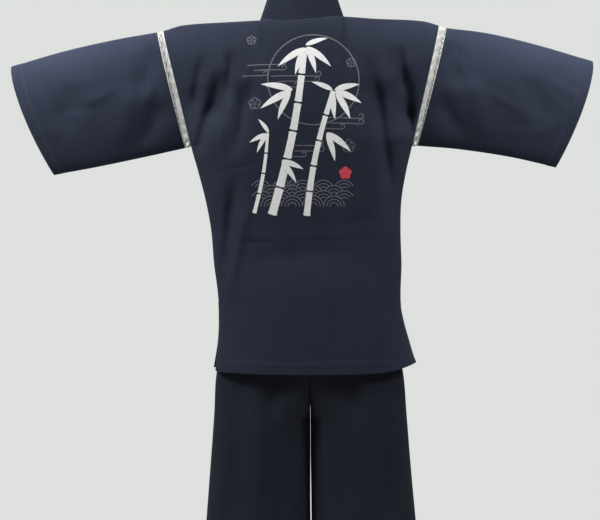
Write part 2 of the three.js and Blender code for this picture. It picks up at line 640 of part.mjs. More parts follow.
// A strip of the tie along places given from the knot, each with its distance out from the jacket.
function tieStrip(name, stations, widthwise) {
  const curve = new THREE.CatmullRomCurve3(
    stations.map(({ dx, dz, out }) => {
      const p = onFront(TIE.knotX + dx, TIE.knotZ + dz, 0);
      p.y -= TIE.lift + out;
      return p;
    }),
  );
  const grid = curve.getPoints(3 * stations.length).map((p) =>
    [-0.5, 0, 0.5].map((k) => p.clone().addScaledVector(widthwise, k * TIE.width)),
  );
  addPiece(name, clothWall(grid, TIE.wall), NAVY);
}

function makeTies() {
  const across = vec(0, 0, 1);
  const hanging = (lean) => vec(1, -0.35, lean).normalize();
  tieStrip("tie_from_front", [
    { dx: 33, dz: 2, out: 1.5 },
    { dx: 22, dz: 1, out: -0.5 },
    { dx: 10.4, dz: 0, out: -5 },
  ], across);
  tieStrip("tie_from_side", [
    { dx: -24, dz: 4, out: -5.5 },
    { dx: -17, dz: 2, out: 0.5 },
    { dx: -10.4, dz: 0, out: 7 },
  ], across);
  tieStrip("tie_loop_left", [
    { dx: 10.4, dz: 3, out: 0.8 },
    { dx: 34, dz: 15, out: 9 },
    { dx: 55, dz: 15, out: 14 },
    { dx: 63, dz: 7, out: 17 },
    { dx: 52, dz: 1, out: 20 },
    { dx: 32, dz: 3, out: 15 },
    { dx: 11, dz: 4, out: 4.5 },
  ], vec(0.1, -0.25, 0.96).normalize());
  tieStrip("tie_loop_right", [
    { dx: -9.9, dz: 3, out: 12.5 },
    { dx: -21, dz: 13, out: 15 },
    { dx: -27, dz: 12, out: 26 },
    { dx: -25, dz: 6, out: 34 },
    { dx: -17, dz: 4, out: 30 },
    { dx: -10.5, dz: 4, out: 20 },
  ], vec(-0.1, -0.2, 0.97).normalize());
  tieStrip("tie_end_left", [
    { dx: 4, dz: -9.2, out: 6.5 },
    { dx: 14, dz: -42, out: 3 },
    { dx: 21, dz: -80, out: 2 },
    { dx: 25, dz: -118, out: 3 },
  ], hanging(0.2));
  tieStrip("tie_end_right", [
    { dx: -3.5, dz: -8.9, out: 4.3 },
    { dx: -9, dz: -38, out: 5 },
    { dx: -10, dz: -70, out: 4 },
    { dx: -13, dz: -102, out: 5 },
  ], hanging(-0.1));
  const knot = new THREE.SphereGeometry(1, 12, 8);
  knot.deleteAttribute("normal");
  knot.deleteAttribute("uv");
  knot.scale(KNOT.radius, KNOT.depth, KNOT.radius);
  const seat = onFront(TIE.knotX, TIE.knotZ, 0);
  knot.rotateZ(KNOT.turn);
  knot.translate(seat.x, seat.y - TIE.lift - KNOT.out, seat.z);
  addPiece("tie_knot", knot, NAVY);
}

makeBack();
makeFront("jacket_front_left", 1, LAYER.leftFront);
makeFront("jacket_front_right", -1, LAYER.rightFront);
makeCollar();
makeSleeve("sleeve_left", SLEEVE_LEFT);
makeSleeve("sleeve_right", SLEEVE_RIGHT);
for (const [word, face] of [["back", 1], ["front", -1]]) {
  makeLace(`lace_left_${word}`, SLEEVE_LEFT, 1, face);
  makeLace(`lace_right_${word}`, SLEEVE_RIGHT, -1, face);
  makeTrouserPanel(`trousers_${word}_left`, 1, face > 0);
  makeTrouserPanel(`trousers_${word}_right`, -1, face > 0);
}
makeWaistband();
makeTies();

export default jinbei;
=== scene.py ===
import math
from collections import namedtuple

import bpy
import numpy as np
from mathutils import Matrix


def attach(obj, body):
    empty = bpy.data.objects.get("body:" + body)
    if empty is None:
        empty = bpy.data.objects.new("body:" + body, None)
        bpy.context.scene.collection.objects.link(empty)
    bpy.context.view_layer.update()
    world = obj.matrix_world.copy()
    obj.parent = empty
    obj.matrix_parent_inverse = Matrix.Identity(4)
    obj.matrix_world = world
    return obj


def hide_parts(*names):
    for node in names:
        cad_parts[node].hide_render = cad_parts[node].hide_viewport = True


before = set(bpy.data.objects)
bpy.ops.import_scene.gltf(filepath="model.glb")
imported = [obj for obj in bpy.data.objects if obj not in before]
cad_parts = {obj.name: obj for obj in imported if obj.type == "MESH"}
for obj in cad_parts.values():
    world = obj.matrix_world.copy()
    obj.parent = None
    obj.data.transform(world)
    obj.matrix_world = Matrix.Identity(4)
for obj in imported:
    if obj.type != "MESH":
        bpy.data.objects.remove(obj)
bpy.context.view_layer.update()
MM = 0.001

# The camera stands behind the outfit at the height of its waist and looks level at the back, as in
# the photograph, with a short telephoto lens.
CAMERA_PLACE = (0.00525, 2.7, -0.4914)
CAMERA_LENS = 77.1
camera = bpy.data.objects.new("camera", bpy.data.cameras.new("camera"))
camera.data.lens = CAMERA_LENS
camera.data.sensor_width = 36
camera.location = CAMERA_PLACE
camera.rotation_euler = (math.pi / 2, 0, math.pi)
bpy.context.scene.collection.objects.link(camera)
bpy.context.scene.camera = camera

# The back of the jacket is one panel of navy cotton, cut from the shoulder line to the hem. It hangs
# from the shoulders, rounds over the back in long soft troughs, and spreads a little where the side
# slits let it go. Sizes are in millimetres, in the frame's axes.
Fold = namedtuple("Fold", "x1 z1 x2 z2 width lift")
Cut = namedtuple("Cut", "flat area")  # width and length as cut out, in metres

CLOTH = 1.1
HEM_WALL = 2.2  # where the cloth is turned up and lies double
HEM_HEIGHT = 24
TURN = 2.5  # over which a turned-up hem's edge steps up
STITCHED_BELOW = 3  # the turned-up edge
SEAM = 0.2
BACK_SEAM = -0.3  # the backs' edges run on over the fronts', so that no light shows through the seams
JACKET_HEM = -719
HEM_SAG = 3
SLIT_TOP = -590
ARMPIT = -253
BODY = {
    "z": [-760, -719, -665, -615, -560, -500, -430, -365, -300, -253, -150, -60, 20],
    "middle": [-17, -13, -16, -16, -14, -11, -7, -2, 1, 2, 1, -1, -2],
    "half": [198, 192, 190, 190, 191, 196, 198, 205, 219, 231, 251, 272, 288],
    "back": [126, 125, 123, 120, 116, 109, 108, 113, 118, 121, 124, 121, 118],
    "front": [110, 110, 109, 110, 111, 111, 110, 110, 113, 114, 112, 108, 104],
}
ROUNDNESS = 2.4
ROLL = {"back": 2.6, "front": 2.2}
CHEST_SHARE = 0.45
ARMHOLE_GAP = 0.4
ARMHOLE = {"top_middle": 3, "top_half": 288.5, "bottom_middle": 2, "bottom_half": 231, "bulge": 44}
ARMHOLE_REACH = {"top": 3, "armpit": 16}
TEARDROP = 0.45
SHOULDER = {"out": [0, 84, 150, 250, 290], "left": [10, 9, 6, 0, -11], "right": [18, 17, 13, 9, -1]}
NECK_HALF = 86
NAPE_BACK = 58
NAPE_DIP = 11
JACKET_ROWS = {"armhole": 89, "body": 81, "slit": 24}
BACK_COLUMNS = {"neck": 21, "shoulder": 61, "crowding": 1.3}
SEEDS = {"back": 11, "front": 31, "sleeve": 51, "trousers": 70}  # of the crumple
SLIT_SPREAD = {"back": 45, "front": 24}
BACK_FLARE = {"out": 29, "lift": 17}  # of the slit corner at the wearer's right
FLARE_POWER = {"down": 1.3, "across": 12}
FOLD_TAPER = 0.35
SIDE_FADE = 9
BACK_FADE = 20  # the back's folds run on to the seams
BACK_FOLDS = [
    Fold(203, -60, 226, -190, 12, -10),
    Fold(166, -100, 184, -215, 17, -15),
    Fold(146, -50, 150, -185, 10, -12),
    Fold(133, -90, 172, -290, 11, 6),
    Fold(112, -120, 134, -290, 13, -10),
    Fold(-134, -50, -188, -400, 15, -16),
    Fold(-168, -75, -184, -235, 11, 5),
    Fold(-202, -45, -205, -155, 10, -11),
    Fold(-208, -80, -222, -240, 16, -18),
    Fold(106, -350, 160, -590, 13, 8),
    Fold(133, -300, 166, -570, 15, -14),
    Fold(150, -484, -140, -478, 22, -3),
]
# Finer creases that lie over the main folds: the pressed line across the waist and small pulls.
BACK_CREASES = [
    Fold(150, -458, 60, -455, 5, -1.3),
    Fold(96, -455, 48, -456, 3.5, -1.4),
    Fold(40, -456, -165, -450, 6, -1.0),
    Fold(196, -314, 84, -298, 7, -1.6),
    Fold(-60, -420, -170, -404, 9, -1.2),
    Fold(101, -100, 109, -195, 8, -4),
    Fold(182, -150, 219, -285, 13, -15),
    Fold(-212, -150, -238, -290, 12, -13),
    Fold(116, -50, 121, -135, 7, -3),
    Fold(-182, -45, -184, -120, 7, -3.5),
    Fold(196, -150, 176, -330, 9, 1.6),
    Fold(-206, -300, -188, -430, 10, -2.2),
    Fold(60, -520, 96, -690, 14, -2.2),
    Fold(-40, -500, -70, -690, 16, 1.8),
    Fold(-120, -520, -128, -700, 14, -2.2),
    Fold(10, -560, 16, -705, 13, 1.2),
]


def mix(a, b, t):
    return a + (b - a) * t


def unit(vectors):
    """Vectors along the last axis, each made one long."""
    return vectors / np.maximum(np.linalg.norm(vectors, axis=-1, keepdims=True), 1e-9)


def ease(t):
    t = np.clip(t, 0, 1)
    return t * t * (3 - 2 * t)


def crowded(count):
    """Shares from 0 to 1 that lie closer together at both ends."""
    return (1 - np.cos(np.pi * np.linspace(0, 1, count))) / 2


def closer_outwards(count, power):
    """Shares from 0 to 1 that lie closer together towards 1."""
    return 1 - (1 - np.linspace(0, 1, count)) ** power


def at(table, value):
    """Every column of a table at values of its first column, on a smooth curve through the rows."""
    names = list(table)
    keys = np.array(table[names[0]], float)
    i = np.clip(np.searchsorted(keys, value, side="right") - 1, 0, len(keys) - 2)
    span = keys[i + 1] - keys[i]
    t = np.clip((value - keys[i]) / span, 0, 1)
    found = {}
    for name in names[1:]:
        v = np.array(table[name], float)
        ends = np.diff(v) / np.diff(keys)
        slope = np.concatenate([ends[:1], (v[2:] - v[:-2]) / (keys[2:] - keys[:-2]), ends[-1:]])
        start = v[i] * (2 * t**3 - 3 * t**2 + 1) + slope[i] * span * (t**3 - 2 * t**2 + t)
        found[name] = start + v[i + 1] * (3 * t**2 - 2 * t**3) + slope[i + 1] * span * (t**3 - t**2)
    return found


def rounded(s):
    """Depth of a body's rounded section, at a share of the way out to its side."""
    return (1 - s**ROUNDNESS) ** (1 / ROUNDNESS)


def fold_lift(folds, x, z):
    """How far folds lift the cloth: troughs where negative, each tapering to its ends."""
    lift = 0
    for fold in folds:
        dx, dz = fold.x2 - fold.x1, fold.z2 - fold.z1
        length = math.hypot(dx, dz)
        along = ((x - fold.x1) * dx + (z - fold.z1) * dz) / length**2
        aside = ((x - fold.x1) * dz - (z - fold.z1) * dx) / length
        inside = ease(along / FOLD_TAPER) * ease((1 - along) / FOLD_TAPER)
        lift = lift + fold.lift * inside * np.exp(-((aside / fold.width) ** 2))
    return lift


Crumple = namedtuple("Crumple", "across down lean height")
CRUMPLES = [Crumple(46, 110, 0.2, 0.9), Crumple(19, 34, -0.3, 0.35)]
PATCHES = 64  # of unevenness, before they repeat
PAST_ZERO = 1000  # patches by which places are moved, so that none is below zero
JUST_ABOVE = 1e-6  # the armpit, as a share of the armhole
SHARP = math.radians(40)


def soft_noise(x, z, size, seed):
    """Smooth noise from -1 to 1 whose patches are about size = (across, down) millimetres."""
    lattice = np.random.default_rng(seed).uniform(-1, 1, (PATCHES, PATCHES))
    u, v = x / size[0] + PAST_ZERO, z / size[1] + PAST_ZERO
    i, j = np.floor(u).astype(int), np.floor(v).astype(int)
    s, t = ease(u - i), ease(v - j)
    value = lambda a, b: lattice[a % PATCHES, b % PATCHES]
    return mix(mix(value(i, j), value(i + 1, j), s), mix(value(i, j + 1), value(i + 1, j + 1), s), t)


def crumple(x, z, seed):
    """The slight unevenness of worn cotton, in broad and in fine patches."""
    return sum(
        soft_noise(x + one.lean * z, z, (one.across, one.down), seed + k) * one.height
        for k, one in enumerate(CRUMPLES)
    )


def ridge(x):
    sides = at(SHOULDER, np.minimum(np.abs(x), SHOULDER["out"][-1]))
    return mix(sides["right"], sides["left"], ease((x + NECK_HALF) / (2 * NECK_HALF)))


def neck_share(x):
    return np.sqrt(np.maximum(0, 1 - (x / NECK_HALF) ** 2))


def back_top(x):
    return ridge(x) - NAPE_DIP * neck_share(x) ** 2


def rise(z, top):
    """Share of the way from the armpit's height up to the shoulder line, below zero under the armpit."""
    return np.minimum(1, (z - ARMPIT) / (top - ARMPIT))


def spread(z, v):
    """Middle and half width at a height, or at a share of the way up the armhole."""
    low = at(BODY, z)
    middle = np.where(v <= 0, low["middle"], mix(ARMHOLE["bottom_middle"], ARMHOLE["top_middle"], v))
    return middle, np.where(v <= 0, low["half"], mix(ARMHOLE["bottom_half"], ARMHOLE["top_half"], v))


def fullness(h):
    """How far a flat sleeve or armhole bulges, at a share of the way down it."""
    cosine = 1 - 2 * h
    return np.sqrt(np.maximum(0, 1 - cosine**2)) * (1 + TEARDROP * cosine)


def open_share(z):
    return np.clip((SLIT_TOP - z) / (SLIT_TOP - JACKET_HEM), 0, 1)


def stand_out(x, z, top, face, folds, seed):
    """How far the jacket stands out, behind or in front, from the line of the side seams."""
    v = rise(z, top)
    middle, half = spread(z, v)
    s = np.minimum(1, np.abs((x - middle) / half))
    depth = at(BODY, z)[face]
    wrinkles = fold_lift(folds, x, z) + crumple(x, z, seed)
    lift = wrinkles * np.minimum(1, (1 - s) * (BACK_FADE if face == "back" else SIDE_FADE))
    edge = open_share(z) * SLIT_SPREAD[face]
    below = edge + (depth - edge) * rounded(s) + lift
    up = np.clip(v, 0, 1)
    across = (1 - s**ROUNDNESS) ** mix(1 / ROUNDNESS, 1, ease(up / CHEST_SHARE))
    over = (1 - up ** ROLL[face]) ** (1 / ROLL[face])
    neckline = NAPE_BACK * neck_share(x) if face == "back" else 0
    reach = mix(ARMHOLE_REACH["armpit"], ARMHOLE_REACH["top"], ease(2 * up))
    armhole = ARMHOLE["bulge"] * fullness(1 - up) * s**reach
    above = neckline + (depth * across - neckline) * over + armhole + lift * over
    return np.where(v <= 0, below, above)


def flare(z, s):
    """Share of a slit corner's flare at a height, and at a share of the way out to the edge."""
    return open_share(z) ** FLARE_POWER["down"] * s ** FLARE_POWER["across"]


def on_back(x, z):
    y = stand_out(x, z, back_top(x), "back", BACK_FOLDS + BACK_CREASES, SEEDS["back"])
    return np.stack([x, np.maximum(BACK_SEAM, y), z], -1)


def rows_of_jacket():
    """Rows from the shoulder line to the hem, as shares above the armpit and as heights below it."""
    body = np.linspace(ARMPIT, SLIT_TOP, JACKET_ROWS["body"])[1:]
    slit = np.linspace(SLIT_TOP, JACKET_HEM, JACKET_ROWS["slit"])[1:]
    hem_top = JACKET_HEM + HEM_HEIGHT
    below = [*body, *slit, hem_top, hem_top + TURN, hem_top - STITCHED_BELOW]
    return 1 - crowded(JACKET_ROWS["armhole"]), np.array(sorted(below, reverse=True))


def row_places(s, top_of):
    """x and z of every row at shares s of the half width, to the wearer's left or right."""
    above, below = rows_of_jacket()
    up = np.maximum(above, JUST_ABOVE)[:, None]
    middle, half = spread(0.0, up)
    x_up = middle + s * (half - ARMHOLE_GAP * (above > 0)[:, None])
    z_up = mix(ARMPIT, top_of(x_up), above[:, None])
    low = at(BODY, below[:, None])
    sag = HEM_SAG * (1 - s**2) * open_share(below[:, None]) ** 2
    x = np.concatenate([x_up, low["middle"] + s * low["half"]])
    return x, np.concatenate([z_up, below[:, None] - sag + 0 * s])


def new_piece(name, points, edges, faces, material=None):
    """An object with a mesh of its own, from points in mm."""
    mesh = bpy.data.meshes.new(name)
    mesh.from_pydata((np.asarray(points) * MM).tolist(), edges, faces)
    if material:
        mesh.materials.append(material)
    piece = bpy.data.objects.new(name, mesh)
    bpy.context.scene.collection.objects.link(piece)
    return piece


def shade_smooth(mesh):
    mesh.polygons.foreach_set("use_smooth", [True] * len(mesh.polygons))
    mesh.set_sharp_from_angle(angle=SHARP)


Cloth = namedtuple("Cloth", "piece outer normal")
FACES = ((1, "back"), (-1, "front"))


def cloth_wall(name, grid, wall, material, ring=False, fix=None):
    """A closed thin shell round a grid of points, in mm, with the cloth's flat measure as its UVs."""
    rows, columns = grid.shape[:2]
    around = np.roll(grid, -1, 1) - np.roll(grid, 1, 1) if ring else np.gradient(grid, axis=1)
    normal = unit(np.cross(around, np.gradient(grid, axis=0)))
    if (normal * (grid - grid.mean((0, 1)) * (1, 0, 1))).sum() < 0:
        normal = -normal
    half = np.broadcast_to(wall, (rows, columns))[..., None] / 2
    skins = [grid + normal * half, grid - normal * half]
    if fix:
        skins = [fix(skin) for skin in skins]
    index = np.arange(rows * columns).reshape(rows, columns)
    closed = grid
    if ring:
        index = np.concatenate([index, index[:, :1]], 1)
        closed = np.concatenate([grid, grid[:, :1]], 1)
    flat = np.arange(index.size).reshape(index.shape)
    u = np.cumsum(np.linalg.norm(np.diff(closed, axis=1, prepend=closed[:, :1]), axis=2), 1)
    v = np.cumsum(np.linalg.norm(np.diff(closed, axis=0, prepend=closed[:1]), axis=2), 0)
    u -= u[:, [u.shape[1] // 2]]
    uv = np.stack([u, v], -1).reshape(-1, 2) * MM
    under = rows * columns

    def quads(a, b, c, d):
        return np.stack([a, b, c, d], -1).reshape(-1, 4)

    def panels(out, back):
        groups = [
            quads(out[:-1, :-1], out[:-1, 1:], out[1:, 1:], out[1:, :-1]),
            quads(back[:-1, :-1], back[1:, :-1], back[1:, 1:], back[:-1, 1:]),
            quads(out[0, :-1], back[0, :-1], back[0, 1:], out[0, 1:]),
            quads(out[-1, :-1], out[-1, 1:], back[-1, 1:], back[-1, :-1]),
        ]
        if not ring:
            groups.append(quads(out[:-1, 0], out[1:, 0], back[1:, 0], back[:-1, 0]))
            groups.append(quads(out[:-1, -1], back[:-1, -1], back[1:, -1], out[1:, -1]))
        return np.concatenate(groups)

    faces, uv_faces = panels(index, index + under), panels(flat, flat)
    points = np.concatenate([skin.reshape(-1, 3) for skin in skins])
    a, b, c, d = (points[faces[:, k]] for k in range(4))
    if (a * (np.cross(b, c) + np.cross(c, d))).sum() < 0:
        faces, uv_faces = faces[:, ::-1], uv_faces[:, ::-1]
    piece = new_piece(name, points, [], faces.tolist(), material)
    piece.data.uv_layers.new(name="cloth").data.foreach_set("uv", uv[uv_faces.ravel()].ravel())
    shade_smooth(piece.data)
    return Cloth(piece, skins[0], normal)


def add(tree, kind, inputs=None, **settings):
    """A node with its settings, and with its inputs set or linked by name or number."""
    made = tree.nodes.new(kind)
    for name, value in settings.items():
        setattr(made, name, value)
    for name, value in (inputs or {}).items():
        if isinstance(value, bpy.types.NodeSocket):
            tree.links.new(value, made.inputs[name])
        else:
            made.inputs[name].default_value = value
    return made


def math_of(tree, operation, *values):
    return add(tree, "ShaderNodeMath", dict(enumerate(values)), operation=operation).outputs[0]


def sockets(tree, inputs, outputs):
    for in_out, listed in (("INPUT", inputs), ("OUTPUT", outputs)):
        for name, kind in listed.items():
            tree.interface.new_socket(name, in_out=in_out, socket_type="NodeSocket" + kind)
    return tree.nodes.new("NodeGroupInput").outputs, tree.nodes.new("NodeGroupOutput").inputs


# The cotton's plain weave has uneven, slubbed yarns. Every cotton piece shares this effect.
WEAVE = {
    "slub_stretches": ((520, 22, 1), (18, 430, 1)), "slub_detail": 2.0, "slub_tone": 0.9,
    "slub_gloss": -0.3, "dye_patches": 9.0, "dye_unevenness": 0.28, "crumple_patches": 55.0,
    "detail": 3.0, "yarn_tone": 0.05, "yarn_height": 0.12, "roughness": 0.86,
}
COTTON = {"Yarn pitch": 0.0011, "Slub": 0.5, "Crumple": 0.7}
COTTON_BUMP = {"Strength": 0.5, "Distance": 0.0007}
COTTON_GLOSS = {
    "Specular IOR Level": 0.08, "Sheen Weight": 0.02, "Sheen Roughness": 0.45,
    "Sheen Tint": (0.55, 0.6, 0.9, 1),
}
weave = bpy.data.node_groups.new("slubbed_weave", "ShaderNodeTree")
given, result = sockets(
    weave,
    {"Flat place": "Vector", "Color": "Color", "Yarn pitch": "Float", "Slub": "Float", "Crumple": "Float"},
    {"Color": "Color", "Roughness": "Float", "Height": "Float"},
)


def noise(tree, place, scale, detail=2.0):
    return add(tree, "ShaderNodeTexNoise", {"Vector": place, "Scale": scale, "Detail": detail}).outputs[0]


parts = add(weave, "ShaderNodeSeparateXYZ", {0: given["Flat place"]}).outputs
turns = math_of(weave, "DIVIDE", math.pi, given["Yarn pitch"])
warp, weft = (math_of(weave, "SINE", math_of(weave, "MULTIPLY", part, turns)) for part in parts[:2])
crossing = math_of(weave, "MULTIPLY", warp, weft)
streaks = []
for stretch in WEAVE["slub_stretches"]:
    place = add(weave, "ShaderNodeMapping", {"Vector": given["Flat place"], "Scale": stretch}).outputs[0]
    streaks.append(math_of(weave, "SUBTRACT", noise(weave, place, 1.0, WEAVE["slub_detail"]), 0.5))
slub = math_of(weave, "MULTIPLY", math_of(weave, "ADD", *streaks), given["Slub"])
dyed = noise(weave, given["Flat place"], WEAVE["dye_patches"], WEAVE["detail"])
cloudy = math_of(weave, "SUBTRACT", dyed, 0.5)
tone = math_of(weave, "MULTIPLY_ADD", cloudy, WEAVE["dye_unevenness"], 1.0)
tone = math_of(weave, "MULTIPLY_ADD", slub, WEAVE["slub_tone"], tone)
tone = math_of(weave, "MULTIPLY_ADD", crossing, WEAVE["yarn_tone"], tone)
shade = add(weave, "ShaderNodeVectorMath", {0: given["Color"], 1: tone}, operation="MULTIPLY")
creased = noise(weave, given["Flat place"], WEAVE["crumple_patches"], WEAVE["detail"])
height = math_of(weave, "ADD", math_of(weave, "MULTIPLY", creased, given["Crumple"]), slub)
height = math_of(weave, "MULTIPLY_ADD", crossing, WEAVE["yarn_height"], height)
roughness = math_of(weave, "MULTIPLY_ADD", slub, WEAVE["slub_gloss"], WEAVE["roughness"])
weave.links.new(shade.outputs[0], result["Color"])
weave.links.new(roughness, result["Roughness"])
weave.links.new(height, result["Height"])


def new_material(name):
    material = bpy.data.materials.new(name)
    material.use_nodes = True
    return material, material.node_tree, material.node_tree.nodes["Principled BSDF"].inputs


def bumped(tree, shader, height, strength, distance):
    bump = add(tree, "ShaderNodeBump", {"Height": height, "Strength": strength, "Distance": distance})
    tree.links.new(bump.outputs[0], shader["Normal"])


def cotton(name, color):
    material, tree, shader = new_material(name)
    flat_place = add(tree, "ShaderNodeUVMap", uv_map="cloth").outputs[0]
    woven = add(tree, "ShaderNodeGroup", node_tree=weave)
    tree.links.new(flat_place, woven.inputs["Flat place"])
    for socket, value in {"Color": (*color, 1), **COTTON}.items():
        woven.inputs[socket].default_value = value
    bumped(tree, shader, woven.outputs["Height"], *COTTON_BUMP.values())
    tree.links.new(woven.outputs["Color"], shader["Base Color"])
    tree.links.new(woven.outputs["Roughness"], shader["Roughness"])
    for socket, value in COTTON_GLOSS.items():
        shader[socket].default_value = value
    material.diffuse_color = (*color, 1)
    return material


JACKET_NAVY = (0.0185, 0.0228, 0.038)
jacket_cotton = cotton("navy_jacket_cotton", JACKET_NAVY)
SLIT_HEM = {"width": 18, "above": 12}  # above: how far past the slit's top it goes on
FAR = 99  # further than any turned edge is wide


def hem_wall(distance, width=HEM_HEIGHT):
    """Thickness at a distance from the edge of a hem, which is turned up by its width."""
    return mix(HEM_WALL, CLOTH, ease((distance - width) / TURN))


def slit_wall(z, distance):
    return hem_wall(np.where(z < SLIT_TOP + SLIT_HEM["above"], distance, FAR), SLIT_HEM["width"])


neck_s = NECK_HALF / (ARMHOLE["top_half"] - ARMHOLE_GAP)
half_back = np.concatenate([
    neck_s * np.sin(np.pi / 2 * np.linspace(0, 1, BACK_COLUMNS["neck"])),
    mix(neck_s, 1, closer_outwards(BACK_COLUMNS["shoulder"], BACK_COLUMNS["crowding"])[1:]),
])
back_columns = np.concatenate([-half_back[:0:-1], half_back])
x, z = row_places(back_columns[None, :], back_top)
from_slit = (1 - np.abs(back_columns)) * BODY["half"][2]
back_wall = np.maximum(hem_wall(z - z[-1:]), slit_wall(z, from_slit))
corner = flare(z, np.maximum(0, -back_columns))[..., None] * (-BACK_FLARE["out"], 0, BACK_FLARE["lift"])
ANY = 9999  # a bound that nothing reaches
back = cloth_wall(
    "back_panel", on_back(x, z) + corner, back_wall, jacket_cotton,
    fix=lambda skin: np.maximum(skin, (-ANY, BACK_SEAM, -ANY)),
)
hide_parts("jacket_back")
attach(back.piece, "root")

# The two fronts cross over the chest, the wearer's left over the right, and each runs from the
# shoulder to the hem. Their free edges lie under the collar band and then hang straight down.
FRONT_FOLDS = [
    Fold(120, -50, 118, -220, 17, -6),
    Fold(165, -70, 168, -260, 15, -8),
    Fold(142, -60, 140, -280, 16, 5),
    Fold(205, -90, 216, -250, 15, -8),
    Fold(168, -300, 150, -440, 18, -6),
    Fold(-130, -60, -136, -240, 17, -6),
    Fold(-172, -70, -184, -280, 15, -8),
    Fold(-206, -90, -216, -250, 15, -8),
]
FRONT_CREASES = [
    Fold(132, -130, 128, -270, 8, -1.4),
    Fold(186, -120, 196, -300, 8, 1.8),
    Fold(-152, -110, -160, -290, 8, 1.6),
    Fold(-190, -140, -204, -330, 8, 1.8),
    Fold(176, -330, 190, -460, 9, 1.6),
    Fold(-180, -320, -150, -440, 10, -1.8),
    Fold(-186, -480, -176, -640, 12, 1.8),
]
LEFT_FRONT_FOLDS = [
    Fold(-50, -474, 105, -436, 16, 5),
    Fold(-70, -505, 120, -520, 18, 5),
    Fold(-80, -530, 40, -640, 22, 6),
    Fold(150, -470, 122, -680, 20, 6),
    Fold(-90, -480, 20, -458, 7, 1.4),
    Fold(0, -560, 90, -600, 9, 1.2),
    Fold(60, -620, 100, -700, 12, 1.5),
]
COLLAR_END = -470
COLLAR_SEAM = {
    "z": [COLLAR_END, -400, -320, -240, -170, -110, -50, 17],
    "out": [-88, -48, -2, 35, 60, 76, 85, NECK_HALF],
}
FRONT_EDGE_OUT = -140
UNDER_COLLAR = {"start": -80, "end": -200}
LAYER = {"right_front": -4.2, "left_front": 3.4, "top": -20, "fade": 90}
FRONT_FLARE = 8
FRONT_EDGE_HEM = 12
FRONT_COLUMNS = {"count": 71, "crowding": 1.5}
FRONT_WIDTH = 260
LAYER_FADE = 0.2  # share of the half width over which the crossing layers part


def on_front(x, z, layer):
    v = rise(z, ridge(x))
    middle, half = spread(z, v)
    s = np.abs((x - middle) / half)
    folds = FRONT_FOLDS + FRONT_CREASES + (LEFT_FRONT_FOLDS if layer > 0 else [])
    inner = layer * ease((1 - s) / LAYER_FADE) * ease((LAYER["top"] - z) / LAYER["fade"])
    y = stand_out(x, z, ridge(x), "front", folds, SEEDS["front"]) + inner
    return np.stack([x, -np.maximum(SEAM, y), z + 0 * x], -1)


def seam_heights(side):
    above, below = rows_of_jacket()
    return np.concatenate([mix(ARMPIT, ridge(np.array(side * NECK_HALF)), above), below])


def chest_place(side, z, out):
    return spread(z, rise(z, ridge(np.array(0.0))))[0] + side * out


def front_edge(side, z):
    seam = at(COLLAR_SEAM, np.maximum(z, COLLAR_END))["out"]
    beneath = FRONT_EDGE_OUT + seam - COLLAR_SEAM["out"][0]
    reached = ease((UNDER_COLLAR["start"] - z) / (UNDER_COLLAR["start"] - UNDER_COLLAR["end"]))
    return chest_place(side, z, mix(seam, beneath, reached))


def front_panel(name, side, layer):
    """A front from its shoulder to its hem, lifted by its layer where the two cross."""
    turn = closer_outwards(FRONT_COLUMNS["count"], FRONT_COLUMNS["crowding"])[None, :]
    above, below = rows_of_jacket()
    side_x = row_places(np.array([[float(side)]]), ridge)[0]
    inner = front_edge(side, seam_heights(side))[:, None]
    x = mix(inner, side_x, turn)
    sag = HEM_SAG * (1 - turn**2) * open_share(below[:, None]) ** 2
    z = np.concatenate([mix(ARMPIT, ridge(x[:len(above)]), above[:, None]), below[:, None] - sag])
    points = on_front(x, z, layer)
    points[..., 0] += side * FRONT_FLARE * flare(z, turn)
    from_edge = np.where(z < COLLAR_END, np.abs(x - inner), FAR)
    turned_up = [hem_wall(z - z[-1:]), slit_wall(z, (1 - turn) * FRONT_WIDTH)]
    wall = np.maximum.reduce([*turned_up, hem_wall(from_edge, FRONT_EDGE_HEM)])
    fixed = lambda skin: np.minimum(skin, (ANY, -SEAM, ANY))
    return cloth_wall(name, points, wall, jacket_cotton, fix=fixed)


fronts = {
    "left": front_panel("left_front_panel", 1, LAYER["left_front"]),
    "right": front_panel("right_front_panel", -1, LAYER["right_front"]),
}
for word, front in fronts.items():
    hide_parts("jacket_front_" + word)
    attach(front.piece, "root")

# The collar is one long folded band. It stands around the nape, leans in a little, and lies flat
# down both fronts to its ends at the waist, sewn along its seam edge.
BAND = 2.4
COLLAR_WIDTH = 50
COLLAR_CLEAR = 2
COLLAR_TUCK = 2.6  # by which the seam edge runs into the seam, so that no light shows through
COLLAR_RISE = {"height": 3.1, "top": 10, "fade": 60}
COLLAR_LEAN = {"inward": 0.32, "forward": 0.16}
COLLAR_LIES_BY = 130
COLLAR_NEAR = 4  # over which its slope is measured, and which it keeps below the shoulder line
COLLAR_COUNTS = {"nape": 45, "across": 15}
COLLAR_EDGE = {"wall": 1.5, "width": 4}


